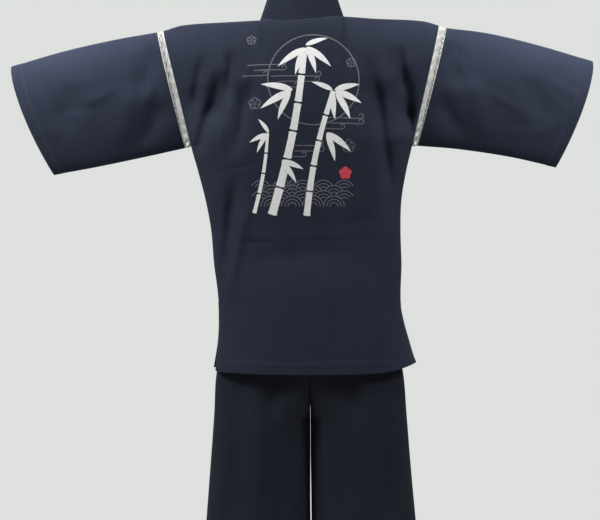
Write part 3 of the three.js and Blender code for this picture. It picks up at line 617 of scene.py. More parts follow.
def collar_section(side, z, x, reach):
    """Points across the band at a place of the nape, given by x, or of a front, given by z."""
    if side == 0:
        base = np.array([x, NAPE_BACK * neck_share(x), back_top(np.array(x))])
        up = np.array([-COLLAR_LEAN["inward"] * x / NECK_HALF, -COLLAR_LEAN["forward"], 1])
        return base + reach[:, None] * unit(up)
    layer = LAYER["left_front"] if side > 0 else LAYER["right_front"]
    raised = COLLAR_RISE["height"] * ease((COLLAR_RISE["top"] - z) / COLLAR_RISE["fade"])
    seam = lambda h: chest_place(side, h, at(COLLAR_SEAM, h)["out"])
    above, below = z + COLLAR_NEAR, np.maximum(z - COLLAR_NEAR, COLLAR_END)
    slope = (seam(above) - seam(below)) / min(2 * COLLAR_NEAR, above - COLLAR_END)
    tilt = 1 / math.hypot(1, slope)
    top = ridge(np.array(side * NECK_HALF))
    base = on_front(seam(z), z, layer) - (0, raised, 0)
    up = unit(np.array([-side * COLLAR_LEAN["inward"], -COLLAR_LEAN["forward"], 1]))
    down_front = np.minimum(z + side * slope * tilt * reach, top - COLLAR_NEAR)
    lying = on_front(base[0] - side * tilt * reach, down_front, layer) - (0, raised, 0)
    toward = mix(base + reach[:, None] * up, lying, ease((top - z) / COLLAR_LIES_BY)) - base
    return base + reach[:, None] * unit(toward)


stations = []
for side in (-1, 1):
    heights = [h for h in seam_heights(side)[1:] if h > COLLAR_END] + [COLLAR_END]
    run = [(side, float(h), 0.0) for h in heights]
    stations += run[::-1] if side < 0 else run
    if side < 0:
        nape = np.linspace(0, 1, COLLAR_COUNTS["nape"])
        stations += [(0, 0.0, -NECK_HALF * math.cos(math.pi * t)) for t in nape]
band_share = np.linspace(0, 1, COLLAR_COUNTS["across"])
band_reach = COLLAR_CLEAR + COLLAR_WIDTH * band_share
band_reach[0] -= COLLAR_TUCK
band_grid = np.array([collar_section(*station, band_reach) for station in stations])
from_edge = np.minimum(band_share, 1 - band_share) * COLLAR_WIDTH
band_wall = mix(COLLAR_EDGE["wall"], BAND, ease(from_edge / COLLAR_EDGE["width"]))[None, :]
collar = cloth_wall("collar_band_cloth", band_grid, band_wall, jacket_cotton)
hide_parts("collar_band")
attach(collar.piece, "root")

# Each sleeve is a wide flat tube of the same cotton. It hangs from the line of a spread arm in a deep
# fold, and its cuff is turned up and stitched.
SLEEVE_TABLES = {
    "left": {
        "along": [0, 0.3, 0.65, 1],
        "top_x": [304, 389, 500, 609],
        "top_z": [-14, -29, -54, -86],
        "bottom_x": [247, 333, 434, 522],
        "bottom_z": [-256, -275, -296, -312],
        "half": [45, 48, 46, 43],
        "bow": [0, 2, 5, 9],
    },
    "right": {
        "along": [0, 0.3, 0.65, 1],
        "top_x": [-301, -392, -500, -607],
        "top_z": [-5, -17, -43, -75],
        "bottom_x": [-242, -326, -434, -532],
        "bottom_z": [-251, -258, -274, -296],
        "half": [45, 48, 46, 43],
        "bow": [0, 2, 4, 8],
    },
}
SLEEVE_LENGTH = 320
SLEEVE_DROP = 245
CUFF_HEM = 22
SLEEVE_COUNTS = {"along": 73, "down": 63}
OTHER_PATCHES = 500  # by which the places of a sleeve's two faces differ in the crumple
SLEEVE_FOLDS = [
    Fold(0.02, 0.08, 0.2, 0.55, 22, -7),
    Fold(0.04, 0.55, 0.3, 0.96, 22, -9),
    Fold(0.22, 0.4, 0.46, 0.95, 24, 6),
    Fold(0.55, 0.3, 0.85, 0.7, 24, -5),
]
SLEEVE_CREASES = {
    "left": [
        Fold(0.3, 0.42, 0.62, 0.52, 8, 1.6),
        Fold(0.42, 0.56, 0.8, 0.5, 7, -1.4),
        Fold(0.05, 0.3, 0.24, 0.72, 9, 1.8),
        Fold(0.12, 0.72, 0.4, 0.99, 10, -1.8),
        Fold(0.62, 0.55, 0.95, 0.86, 12, -1.6),
    ],
    "right": [
        Fold(0.08, 0.2, 0.3, 0.6, 9, 1.8),
        Fold(0.1, 0.62, 0.36, 0.98, 9, -2.0),
        Fold(0.34, 0.5, 0.66, 0.64, 8, 1.5),
        Fold(0.5, 0.78, 0.86, 0.66, 9, -1.4),
        Fold(0.7, 0.3, 0.98, 0.4, 9, 1.2),
    ],
}


def stretched(folds, x_scale, z_scale):
    """Folds given in shares, in mm."""
    return [
        fold._replace(x1=fold.x1 * x_scale, x2=fold.x2 * x_scale, z1=fold.z1 * z_scale, z2=fold.z2 * z_scale)
        for fold in folds
    ]


def on_sleeve(word, along, h, face):
    """Points at shares of the way along the sleeve and of the way down it, behind (1) or in front (-1)."""
    ring = at(SLEEVE_TABLES[word], along)
    folds = stretched(SLEEVE_FOLDS + SLEEVE_CREASES[word], SLEEVE_LENGTH, SLEEVE_DROP)
    full = fullness(h)
    flat_x, flat_z = along * SLEEVE_LENGTH, h * SLEEVE_DROP
    wrinkles = fold_lift(folds, flat_x, flat_z)
    wrinkles = wrinkles + crumple(flat_x, flat_z + OTHER_PATCHES * face, SEEDS["sleeve"] + len(word))
    x = mix(ring["top_x"], ring["bottom_x"], h) + 4 * h * (1 - h) * ring["bow"] * np.sign(ring["top_x"])
    z = mix(ring["top_z"], ring["bottom_z"], h)
    y = face * (ring["half"] * full + wrinkles * np.minimum(1, full))
    return np.stack([x + 0 * y, y, z + 0 * y], -1)


sleeves = {}
for word in SLEEVE_TABLES:
    along = mix(ARMHOLE_GAP / SLEEVE_LENGTH, 1, np.linspace(0, 1, SLEEVE_COUNTS["along"]))
    along = [*along, 1 - CUFF_HEM / SLEEVE_LENGTH, 1 - (CUFF_HEM + TURN) / SLEEVE_LENGTH]
    along = np.sort(along)[:, None]
    down = crowded(SLEEVE_COUNTS["down"])[None, :]
    ring = np.concatenate([on_sleeve(word, along, down, 1), on_sleeve(word, along, down[:, -2:0:-1], -1)], 1)
    wall = hem_wall((1 - along) * SLEEVE_LENGTH, CUFF_HEM)
    sleeve = cloth_wall(f"{word}_sleeve_cloth", ring, wall, jacket_cotton, ring=True)
    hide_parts("sleeve_" + word)
    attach(sleeve.piece, "root")
    sleeves[word] = sleeve

# The trousers are four panels of the same cotton, a back and a front for each leg, joined down the
# sides, the inside legs and the middle. They hang loosely from the waist to below the knee.
WAIST_TOP = -428
WAISTBAND_HEIGHT = 36
CROTCH = -812
TROUSER_HEM = -1100
TROUSERS = {
    "z": [-1100, -1037, -930, -812, -743, -690, -640, -600, -560, -515, -464, -428],
    "middle": [-19, -18, -17, -16.5, -15.5, -15.5, -16, -15.6, -14, -12, -9, -7],
    "half": [224, 219, 210, 201, 197, 189.5, 187.9, 188, 187, 180, 167, 160],
    "back": [85, 86, 89, 95, 98, 100, 101, 101, 98, 93, 84, 78],
    "front": [86, 86, 88, 92, 93, 94, 95, 96, 95, 92, 86, 80],
}
CROTCH_CURVE_TOP = -690
LEG_FORMED = -870
LEG_GAP = {"closed": -0.05, "hem": 0.85, "from": -880, "fade": 130}  # the legs touch above it
INNER_TURN = {"hips": 0.12, "leg": 0.5}
PANEL_WIDTH = 200
CAD_CLOTH = 1.6
LEG_COUNTS = {"down": 128, "across": 61}
TROUSER_FOLDS = [
    Fold(0.3, -600, 0.42, -840, 20, -9),
    Fold(0.5, -700, 0.55, -1060, 22, 6),
    Fold(0.72, -740, 0.74, -1090, 22, -7),
    Fold(0.24, -860, 0.3, -1090, 19, -7),
]
TROUSER_CREASES = [
    Fold(0.1, -840, 0.11, -1099, 13, -4),
    Fold(0.6, -760, 0.66, -1000, 9, 1.5),
    Fold(0.12, -800, 0.4, -900, 11, -1.6),
    Fold(0.4, -880, 0.44, -1080, 10, -1.6),
    Fold(0.84, -820, 0.86, -1080, 9, 1.6),
]
# The trousers' navy is the jacket's navy made darker and less blue: painted shade, for the shade the legs
# hang in below the jacket.
TROUSER_NAVY_PAINTED_SHADE = (0.0165, 0.0186, 0.0284)
trouser_cotton_painted_shade = cotton("navy_trousers_with_painted_shade", TROUSER_NAVY_PAINTED_SHADE)


def on_trousers(side, face, s, z, seed):
    """Points of a leg's panel at shares of the way out from the middle, behind (1) or in front (-1)."""
    ring = at(TROUSERS, z)
    depth = ring["back" if face > 0 else "front"]
    parted = ease((CROTCH_CURVE_TOP - z) / (CROTCH_CURVE_TOP - LEG_FORMED))
    crotch_share = np.clip((CROTCH_CURVE_TOP - z) / (CROTCH_CURVE_TOP - CROTCH), 0, 1)
    seam_depth = depth * np.sqrt(1 - crotch_share**2)
    outer = rounded(np.clip((s - parted / 2) / (1 - parted / 2), 0, 1))
    turn = mix(INNER_TURN["hips"], INNER_TURN["leg"], parted)
    inner = rounded(1 - np.minimum(s / turn, 1))
    below = mix(LEG_GAP["closed"], LEG_GAP["hem"], ease((LEG_GAP["from"] - z) / LEG_GAP["fade"]))
    gap = np.where(z > CROTCH, SEAM, below) + CAD_CLOTH / 2 * crotch_share
    folds = stretched(TROUSER_FOLDS + TROUSER_CREASES, PANEL_WIDTH, 1)
    wrinkles = fold_lift(folds, s * PANEL_WIDTH, z) + crumple(s * PANEL_WIDTH, z, seed)
    fade = np.minimum.reduce([1 + 0 * s, (1 - s) * SIDE_FADE, s * SIDE_FADE])
    shape = seam_depth + (depth * outer - seam_depth) * inner + wrinkles * fade
    x = ring["middle"] + side * mix(gap, ring["half"], s)
    return np.stack([x, face * np.maximum(BACK_SEAM if face > 0 else SEAM, shape), z + 0 * x], -1)


legs = {}
leg_top = WAIST_TOP - WAISTBAND_HEIGHT - 2 * SEAM
hem_top = TROUSER_HEM + HEM_HEIGHT
leg_rows = [*np.linspace(leg_top, TROUSER_HEM, LEG_COUNTS["down"]), hem_top, hem_top + TURN]
leg_rows = np.array(sorted(leg_rows, reverse=True))[:, None]
leg_columns = crowded(LEG_COUNTS["across"])[None, :]
for face, face_word in FACES:
    for side, word in ((1, "left"), (-1, "right")):
        def fix(skin, side=side, face=face):
            edge = BACK_SEAM if face > 0 else SEAM
            middle = at(TROUSERS, leg_rows)["middle"]
            x = middle + side * np.maximum(side * (skin[..., 0] - middle), SEAM)
            return np.stack([x, face * np.maximum(face * skin[..., 1], edge), skin[..., 2]], -1)

        seed = SEEDS["trousers"] + 2 * face + side
        points = on_trousers(side, face, leg_columns, leg_rows, seed)
        wall = hem_wall(leg_rows - TROUSER_HEM)
        leg = cloth_wall(f"{word}_leg_{face_word}", points, wall, trouser_cotton_painted_shade, fix=fix)
        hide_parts(f"trousers_{face_word}_{word}")
        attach(leg.piece, "root")
        legs[word, face_word] = leg

# The waistband is a plain folded band around the top of the trousers. It sits under the jacket, which
# hides it from all sides.
WAISTBAND_COUNTS = {"around": 160, "down": 9}
turns = 2 * np.pi * np.linspace(0, 1, WAISTBAND_COUNTS["around"] + 1)[:-1]
power = lambda value: np.sign(value) * np.abs(value) ** (2 / ROUNDNESS)
rows = np.linspace(WAIST_TOP, WAIST_TOP - WAISTBAND_HEIGHT, WAISTBAND_COUNTS["down"])[:, None]
ring = at(TROUSERS, rows)
out = power(np.sin(turns))[None, :]
x = ring["middle"] + ring["half"] * power(np.cos(turns))
points = np.stack([x, out * np.where(out > 0, ring["back"], ring["front"]), rows + 0 * out], -1)
waistband = cloth_wall("waistband_cloth", points, BAND, trouser_cotton_painted_shade, ring=True)
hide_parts("waistband")
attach(waistband.piece, "root")

# Strips of open cotton lace join each sleeve to its armhole. Twisted cords run along both edges, and
# two more weave to and fro between them, so that they leave a row of diamond gaps.
LACE_GAPS = 13  # down each half
LACE_STRAND = 0.46  # radius
LACE_TWIST = {"radius": 0.44, "pitch": 4.6}
LACE_RAIL = 0.93  # share of the half width at which the edge cords lie
LACE_SWING = 0.64  # how far the inner cords swing out beside a gap
LACE_BARS = 2  # short threads above and below each crossing, besides the one on it
LACE_BAR = 1.8  # from one of them to the next
LACE_STEP = 1.3
LACE_HALF = 6  # half of the strip's width, roughly
LACE_OVER = {"inner": 0.5, "bars": 0.2}  # how far threads lie over one another
LACE_FINE = 401
LACE_NEAR = 1.5  # over which the strip's direction is measured
LACE_BAR_POINTS = 9
LACE_TUCK = {"by": 1.6, "power": 8}  # how the strip narrows at the armpit


def two_toned(name, tones, scale, roughness, detail=2.0, between=(0, 1), grain=None, bump=None):
    """A material of two tones in fine patches, which are raised themselves or bear a finer grain."""
    material, tree, shader = new_material(name)
    place = add(tree, "ShaderNodeTexCoord").outputs["Object"]
    patches = noise(tree, place, scale, detail)
    share = add(tree, "ShaderNodeMapRange", {0: patches, 1: between[0], 2: between[1]}).outputs[0]
    blend = add(tree, "ShaderNodeMix", {0: share}, data_type="RGBA")
    for socket, tone in zip((6, 7), tones):
        blend.inputs[socket].default_value = (*tone, 1)
    tree.links.new(blend.outputs[2], shader["Base Color"])
    shader["Roughness"].default_value = roughness
    if bump:
        bumped(tree, shader, noise(tree, place, grain) if grain else patches, *bump)
    return material


# The lace's off-white is lowered to a light grey. This is partly its own tone and partly painted shade,
# which darkens the strip and its far half where that shows through the gaps.
LACE_TONES_PAINTED_SHADE = (0.5, 0.49, 0.47), (0.68, 0.67, 0.65)
lace_cotton_painted_shade = two_toned("off_white_lace_painted_shade", LACE_TONES_PAINTED_SHADE, 900.0, 0.75, bump=(0.5, 0.0003))

# Threads of the lace are round tubes along drawn paths.
thread_tree = bpy.data.node_groups.new("lace_threads", "GeometryNodeTree")
given, result = sockets(
    thread_tree, {"Paths": "Geometry", "Radius": "Float", "Thread": "Material"}, {"Geometry": "Geometry"}
)
curves = add(thread_tree, "GeometryNodeMeshToCurve", {"Mesh": given["Paths"]})
section = add(thread_tree, "GeometryNodeCurvePrimitiveCircle", {"Resolution": 5, "Radius": given["Radius"]})
tubes = add(thread_tree, "GeometryNodeCurveToMesh", {
    "Curve": curves.outputs[0], "Profile Curve": section.outputs[0], "Fill Caps": True})


def put_out(tree, made, given, result):
    """Ends a tree with what it made, smooth and of the given thread."""
    real = add(tree, "GeometryNodeRealizeInstances", {0: made.outputs[0]})
    smooth = add(tree, "GeometryNodeSetShadeSmooth", {0: real.outputs[0]})
    dyed = add(tree, "GeometryNodeSetMaterial", {"Geometry": smooth.outputs[0], "Material": given["Thread"]})
    tree.links.new(dyed.outputs[0], result["Geometry"])


put_out(thread_tree, tubes, given, result)


def drawn_paths(name, paths):
    """Paths, each a pair of point and outward arrays in mm, as the edges of one mesh."""
    edges, start = [], 0
    for path, out in paths:
        edges += [(k, k + 1) for k in range(start, start + len(path) - 1)]
        start += len(path)
    piece = new_piece(name, np.concatenate([path for path, out in paths]), edges, [])
    outs = np.concatenate([out for path, out in paths])
    piece.data.attributes.new("out", "FLOAT_VECTOR", "POINT").data.foreach_set("vector", outs.ravel())
    return piece


def keep_made(piece):
    """Keeps what a piece's modifier makes as its plain mesh."""
    graph = bpy.context.evaluated_depsgraph_get()
    mesh = bpy.data.meshes.new_from_object(piece.evaluated_get(graph), depsgraph=graph)
    piece.modifiers.clear()
    piece.data = mesh


def grow(piece, tree, values):
    """Runs a tree on a piece with the named inputs, and keeps what it makes."""
    modifier = piece.modifiers.new(tree.name, "NODES")
    modifier.node_group = tree
    for socket in tree.interface.items_tree:
        if socket.item_type == "SOCKET" and socket.name in values:
            modifier[socket.identifier] = values[socket.name]
    keep_made(piece)


def lace_surface(word, face):
    """A function from place along, from -1 to 1 across, and height to points of a half strip, in mm."""
    side = 1 if word == "left" else -1

    def edge(h):
        middle, half = spread(0.0, np.maximum(1 - h, JUST_ABOVE))
        x = middle + side * half
        return np.stack([x, face * ARMHOLE["bulge"] * fullness(h), mix(ARMPIT, ridge(x), 1 - h)], -1)

    fine = crowded(LACE_FINE)
    steps = np.linalg.norm(np.diff(edge(fine), axis=0), axis=1)
    lengths = np.concatenate([[0], np.cumsum(steps)])

    def place(along, across):
        h = np.interp(np.clip(along, 0, lengths[-1]), lengths, fine)
        start, end = edge(h), on_sleeve(word, 0 * h, h, face)
        width = np.linalg.norm(end - start, axis=-1)
        near = (ARMHOLE_GAP + LACE_TUCK["by"] * h ** LACE_TUCK["power"]) / width
        return start + (end - start) * mix(near, 1 - ARMHOLE_GAP / width, (across + 1) / 2)[..., None]

    def surface(along, across, height):
        across = across + 0 * along
        point = place(along, across)
        tangent = place(along + LACE_NEAR, across) - place(along - LACE_NEAR, across)
        outward = unit(np.cross(tangent, place(along, across * 0 + 1) - place(along, across * 0 - 1)))
        outward *= np.sign(outward[:, 1:2] * face + 1e-9)
        point = point + outward * (height + 0 * along)[:, None]
        point[:, 1] = face * np.maximum(face * point[:, 1], SEAM + LACE_STRAND)
        return point, outward

    return surface, lengths[-1]


for word in ("left", "right"):
    for face, face_word in FACES:
        surface, length = lace_surface(word, face)
        along = np.linspace(LACE_STRAND, length - LACE_STRAND, round(length / LACE_STEP))
        pitch = length / LACE_GAPS
        threads = []
        for k, side in enumerate((-1, 1)):
            swing = np.cos(np.pi * (along / pitch - 0.5))
            inner = side * LACE_SWING * np.sign(swing) * np.abs(swing) ** 2
            for strand in (0, 1):
                twist = 2 * np.pi * along / LACE_TWIST["pitch"] + np.pi * strand + k
                sideways = LACE_TWIST["radius"] * np.cos(twist) / LACE_HALF
                upwards = LACE_TWIST["radius"] * np.sin(twist)
                over = LACE_OVER["inner"] * side * np.cos(np.pi * along / pitch)
                threads.append(surface(along, side * LACE_RAIL + sideways, upwards))
                threads.append(surface(along, inner + sideways, upwards + over))
        across = np.linspace(-LACE_RAIL, LACE_RAIL, LACE_BAR_POINTS)
        for crossing in np.arange(LACE_GAPS + 1) * pitch:
            for shift in np.arange(-LACE_BARS, LACE_BARS + 1) * LACE_BAR:
                run = crossing + shift + 0 * across
                if LACE_STRAND < run[0] < length - LACE_STRAND:
                    threads.append(surface(run, across, LACE_OVER["bars"] * np.sign(shift) + 0 * run))
        lace = drawn_paths(f"{word}_lace_{face_word}", threads)
        grow(lace, thread_tree, {"Radius": LACE_STRAND * MM, "Thread": lace_cotton_painted_shade})
        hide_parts(f"lace_{word}_{face_word}")
        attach(lace, "root")

# The jacket closes with a flat tie at the wearer's right side: one strip from the left front's edge
# and one from the side seam, knotted in a bow whose loops and ends hang down the front.
TIE = {"width": 17, "at_knot": 11, "wall": 1.4, "x": -172, "z": -452, "lift": 8}
TIE_FORM = {"gathered": 22, "pleat": 0.7, "pleats": 2.5, "bow": 3, "sink": 0.4, "along": 14, "across": 13}
KNOT = {"radius": 9.6, "depth": 7.6, "out": 6, "turn": -0.35, "wraps": 3, "ridge": 0.05, "slant": 0.3}
KNOT_COUNTS = {"down": 33, "around": 48}
KNOT_POLE = 0.02  # share of the way round at which its rings begin
Strip = namedtuple("Strip", "name widthwise knotted places")
TIE_STRIPS = [
    Strip("tie_from_front", (0, 0, 1), "end", [(33, 2, 1.5), (22, 1, -0.5), (10.4, 0, -5)]),
    Strip("tie_from_side", (0, 0, 1), "end", [(-24, 4, -5.5), (-17, 2, 0.5), (-10.4, 0, 7)]),
    Strip("tie_loop_left", (0.1, -0.25, 0.96), "both", [
        (10.4, 3, 0.8), (34, 15, 9), (55, 15, 14), (63, 7, 17), (52, 1, 20), (32, 3, 15), (11, 4, 4.5)]),
    Strip("tie_loop_right", (-0.1, -0.2, 0.97), "both", [
        (-9.9, 3, 12.5), (-21, 13, 15), (-27, 12, 26), (-25, 6, 34), (-17, 4, 30), (-10.5, 4, 20)]),
    Strip("tie_end_left", (1, -0.35, 0.2), "start", [
        (4, -9.2, 6.5), (14, -42, 3), (21, -80, 2), (25, -118, 3)]),
    Strip("tie_end_right", (1, -0.35, -0.1), "start", [
        (-3.5, -8.9, 4.3), (-9, -38, 5), (-10, -70, 4), (-13, -102, 5)]),
]


def smooth_curve(points, count):
    """Places on a centripetal curve through points, evenly shared between them."""
    points = np.array(points, float)
    ends = np.concatenate([[2 * points[0] - points[1]], points, [2 * points[-1] - points[-2]]])
    found = []
    for t in np.linspace(0, len(points) - 1, count):
        k = min(int(t), len(points) - 2)
        w = t - k
        p0, p1, p2, p3 = ends[k:k + 4]
        d0, d1, d2 = (np.linalg.norm(b - a) ** 0.5 for a, b in ((p0, p1), (p1, p2), (p2, p3)))
        m1 = ((p1 - p0) / d0 - (p2 - p0) / (d0 + d1) + (p2 - p1) / d1) * d1
        m2 = ((p2 - p1) / d1 - (p3 - p1) / (d1 + d2) + (p3 - p2) / d2) * d1
        cubic = 2 * p1 - 2 * p2 + m1 + m2
        square = -3 * p1 + 3 * p2 - 2 * m1 - m2
        found.append(p1 + w * (m1 + w * (square + w * cubic)))
    return np.array(found)


for strip in TIE_STRIPS:
    places = np.array(strip.places, float)
    route = on_front(TIE["x"] + places[:, 0], TIE["z"] + places[:, 1], 0)
    route[:, 1] -= TIE["lift"] + places[:, 2]
    line = smooth_curve(route, TIE_FORM["along"] * len(places))
    length = np.linalg.norm(np.diff(line, axis=0), axis=1).sum()
    t = np.linspace(0, 1, len(line))
    from_knot = {"start": t, "end": 1 - t, "both": np.minimum(t, 1 - t) * 2}[strip.knotted]
    gathered = (1 - ease(from_knot * length / TIE_FORM["gathered"]))[:, None]
    across = np.linspace(-0.5, 0.5, TIE_FORM["across"])
    width = mix(TIE["width"], TIE["at_knot"], gathered)
    widthwise = unit(np.array(strip.widthwise))
    outward = unit(np.cross(np.gradient(line, axis=0), widthwise))
    pleat = TIE_FORM["pleat"] * np.cos(2 * np.pi * TIE_FORM["pleats"] * across) * gathered
    bowed = (0.25 - across**2) * (1 - gathered) * TIE_FORM["bow"]
    grid = line[:, None] + (width * across)[..., None] * widthwise
    grid = grid + (pleat + bowed - TIE_FORM["sink"])[..., None] * outward[:, None]
    tie = cloth_wall(strip.name + "_cloth", grid, TIE["wall"], jacket_cotton)
    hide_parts(strip.name)
    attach(tie.piece, "root")

# The knot of the tie is the strip wrapped tightly round itself, three turns wide. It sits where the
# sewn-on ends, the loops and the free ends of the bow meet.
seat = on_front(np.array(float(TIE["x"])), np.array(float(TIE["z"])), 0)
polar = np.pi * np.linspace(KNOT_POLE, 1 - KNOT_POLE, KNOT_COUNTS["down"])[:, None]
around = 2 * np.pi * np.linspace(0, 1, KNOT_COUNTS["around"] + 1)[None, :-1]
ball_x, ball_y = np.sin(polar) * np.cos(around), np.sin(polar) * np.sin(around)
ball_z = np.cos(polar) + 0 * around
wraps = np.cos(2 * np.pi * KNOT["wraps"] * (ball_x + KNOT["slant"] * ball_z))
size = 1 - KNOT["ridge"] * (1 + wraps)
ball_x, ball_y, ball_z = (
    ball_x * size * KNOT["radius"], ball_y * size * KNOT["depth"], ball_z * size * KNOT["radius"])
cosine, sine = math.cos(KNOT["turn"]), math.sin(KNOT["turn"])
ball = np.stack([cosine * ball_x - sine * ball_y, sine * ball_x + cosine * ball_y, ball_z], -1)
ball += seat - (0, TIE["lift"] + KNOT["out"], 0)
knot_points = np.concatenate([ball.reshape(-1, 3), [ball[0].mean(0)], [ball[-1].mean(0)]])
index = np.arange(ball[..., 0].size).reshape(ball.shape[:2])
index = np.concatenate([index, index[:, :1]], 1).tolist()
top, bottom = len(knot_points) - 2, len(knot_points) - 1
knot_faces = [
    (upper[j], lower[j], lower[j + 1], upper[j + 1])
    for upper, lower in zip(index, index[1:]) for j in range(KNOT_COUNTS["around"])
]
knot_faces += [(top, index[0][j], index[0][j + 1]) for j in range(KNOT_COUNTS["around"])]
knot_faces += [(bottom, index[-1][j + 1], index[-1][j]) for j in range(KNOT_COUNTS["around"])]
knot = new_piece("tie_knot_cloth", knot_points, [], knot_faces, jacket_cotton)
corners = np.array([loop.vertex_index for loop in knot.data.loops])
flat = knot_points[corners][:, [0, 2]] * MM
knot.data.uv_layers.new(name="cloth").data.foreach_set("uv", flat.ravel())
knot.data.polygons.foreach_set("use_smooth", [True] * len(knot.data.polygons))
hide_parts("tie_knot")
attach(knot, "root")

# Straight stitches of navy thread hold the hems, cuffs, slits, collar band and the left front's edge.
# Each is a small raised dash, and its row follows the cloth's own points.
stitch_tree = bpy.data.node_groups.new("stitch_row", "GeometryNodeTree")
given, result = sockets(
    stitch_tree,
    {"Paths": "Geometry", "Pitch": "Float", "Length": "Float", "Thickness": "Float", "Thread": "Material"},
    {"Geometry": "Geometry"},
)
curves = add(stitch_tree, "GeometryNodeMeshToCurve", {"Mesh": given["Paths"]})
spaced = add(
    stitch_tree, "GeometryNodeResampleCurve",
    {"Curve": curves.outputs[0], "Length": given["Pitch"]}, mode="LENGTH",
)
dash = add(stitch_tree, "GeometryNodeMeshUVSphere", {"Segments": 6, "Rings": 4, "Radius": 0.5})
dash_size = add(stitch_tree, "ShaderNodeCombineXYZ", {
    "X": given["Length"], "Y": given["Thickness"], "Z": given["Thickness"]})
sized = add(stitch_tree, "GeometryNodeTransform", {
    "Geometry": dash.outputs["Mesh"], "Scale": dash_size.outputs[0]})
tangent = add(stitch_tree, "GeometryNodeInputTangent")
ahead = add(stitch_tree, "FunctionNodeAlignRotationToVector", {"Vector": tangent.outputs[0]}, axis="X")
out = add(stitch_tree, "GeometryNodeInputNamedAttribute", {"Name": "out"}, data_type="FLOAT_VECTOR")
facing = add(
    stitch_tree, "FunctionNodeAlignRotationToVector",
    {"Rotation": ahead.outputs[0], "Vector": out.outputs[0]}, axis="Z", pivot_axis="X",
)
dashes = add(stitch_tree, "GeometryNodeInstanceOnPoints", {
    "Points": spaced.outputs[0], "Instance": sized.outputs[0], "Rotation": facing.outputs[0]})
put_out(stitch_tree, dashes, given, result)

THREAD_TONES = (0.022, 0.026, 0.05), (0.05, 0.058, 0.105)
thread = two_toned("navy_sewing_thread", THREAD_TONES, 1500.0, 0.45)
SLIT_COLUMNS = {"back": (3, -4), "front": -5}  # of points, counted in from the panels' edges
COLLAR_COLUMNS = (1, -2)
FRONT_EDGE_COLUMN = 2
CUFF_ROW = -6
STITCH = {"Pitch": 4.0 * MM, "Length": 3.0 * MM, "Thickness": 0.7 * MM, "Thread": thread}


def line_of(cloth, row=slice(None), column=slice(None)):
    """A run of a cloth's outer points with their outward directions."""
    return cloth.outer[row, column], cloth.normal[row, column]


def row_at(heights, z):
    return int(np.argmin(np.abs(heights - z)))


above, below = rows_of_jacket()
jacket_heights = np.concatenate([np.full(len(above), np.inf), below])
hem_row = row_at(jacket_heights, JACKET_HEM + HEM_HEIGHT - STITCHED_BELOW)
slit_rows = slice(row_at(jacket_heights, SLIT_TOP) - 2, None)
below_collar = slice(row_at(jacket_heights, COLLAR_END), None)
jacket_lines = [line_of(cloth, hem_row) for cloth in (back, *fronts.values())]
jacket_lines += [line_of(back, slit_rows, column) for column in SLIT_COLUMNS["back"]]
jacket_lines += [line_of(front, slit_rows, SLIT_COLUMNS["front"]) for front in fronts.values()]
jacket_lines += [line_of(collar, column=column) for column in COLLAR_COLUMNS]
jacket_lines.append(line_of(fronts["left"], below_collar, FRONT_EDGE_COLUMN))
for sleeve in sleeves.values():
    path, out = line_of(sleeve, CUFF_ROW)
    jacket_lines.append((np.concatenate([path, path[:1]]), np.concatenate([out, out[:1]])))
leg_row = row_at(leg_rows[:, 0], TROUSER_HEM + HEM_HEIGHT - STITCHED_BELOW)
trouser_lines = [line_of(leg, leg_row) for leg in legs.values()]
for name, lines in (("jacket_stitches", jacket_lines), ("trouser_stitches", trouser_lines)):
    stitches = drawn_paths(name, lines)
    grow(stitches, stitch_tree, STITCH)
    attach(stitches, "root")

# The print on the back is pigment on the cloth: bold white bamboo over thin grey moon, clouds, waves
# and plum blossoms, with one small red blossom. Places are across, to the right as seen from behind,
# and up, from the base of the neck.
PRINT_WALL = 0.75  # most of it soaked into the cloth
PRINT_NEAR = 1.0  # over which the cloth's slope is measured
PIGMENT = {"scale": 220.0, "detail": 4.0, "between": (0.28, 0.46), "grain": 1400.0, "bump": (0.35, 0.0002)}
TIP = 0.02  # square of a rounded stroke's narrowest share of its width
BRUSH = {"fine": 40, "fewest": 6, "long": 12, "ends": (0, 0.1, 0.3), "even_from": 0.5}
Stroke = namedtuple("Stroke", "points widths lift")


def on_print(across, up, lift):
    """A point of the back cloth's face, as lifted off it as a layer of print."""
    x, near = -across, PRINT_NEAR
    point = on_back(x, up)
    slope_x = (on_back(x + near, up)[..., 1] - on_back(x - near, up)[..., 1]) / (2 * near)
    slope_z = (on_back(x, up + near)[..., 1] - on_back(x, up - near)[..., 1]) / (2 * near)
    return point + unit(np.stack([-slope_x, 1 + 0 * slope_x, -slope_z], -1)) * (CLOTH / 2 + lift)


def printed(name, strokes, material):
    points, faces = [], []
    for stroke in strokes:
        path = np.array(stroke.points, float)
        ahead = unit(np.gradient(path, axis=0))
        aside = np.stack([ahead[:, 1], -ahead[:, 0]], -1)
        columns = 3 if np.max(stroke.widths) < 5 else 5
        k = np.linspace(-0.5, 0.5, columns)
        widths = np.broadcast_to(stroke.widths, len(path))
        flat = path[:, None] + aside[:, None] * (widths[:, None] * k)[..., None]
        grid = on_print(flat[..., 0], flat[..., 1], stroke.lift - PRINT_WALL)
        rise_out = np.cross(grid[0, 1] - grid[0, 0], grid[1, 0] - grid[0, 0])[1]
        index = len(points) + np.arange(grid.shape[0] * columns).reshape(-1, columns)
        quads = np.stack([index[:-1, :-1], index[:-1, 1:], index[1:, 1:], index[1:, :-1]], -1)
        quads = quads.reshape(-1, 4)
        faces += (quads if rise_out > 0 else quads[:, ::-1]).tolist()
        points += grid.reshape(-1, 3).tolist()
    piece = new_piece(name, points, [], faces, material)
    thick = piece.modifiers.new("wall", "SOLIDIFY")
    thick.thickness = PRINT_WALL * MM
    thick.offset = 1
    keep_made(piece)
    shade_smooth(piece.data)
    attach(piece, "root")


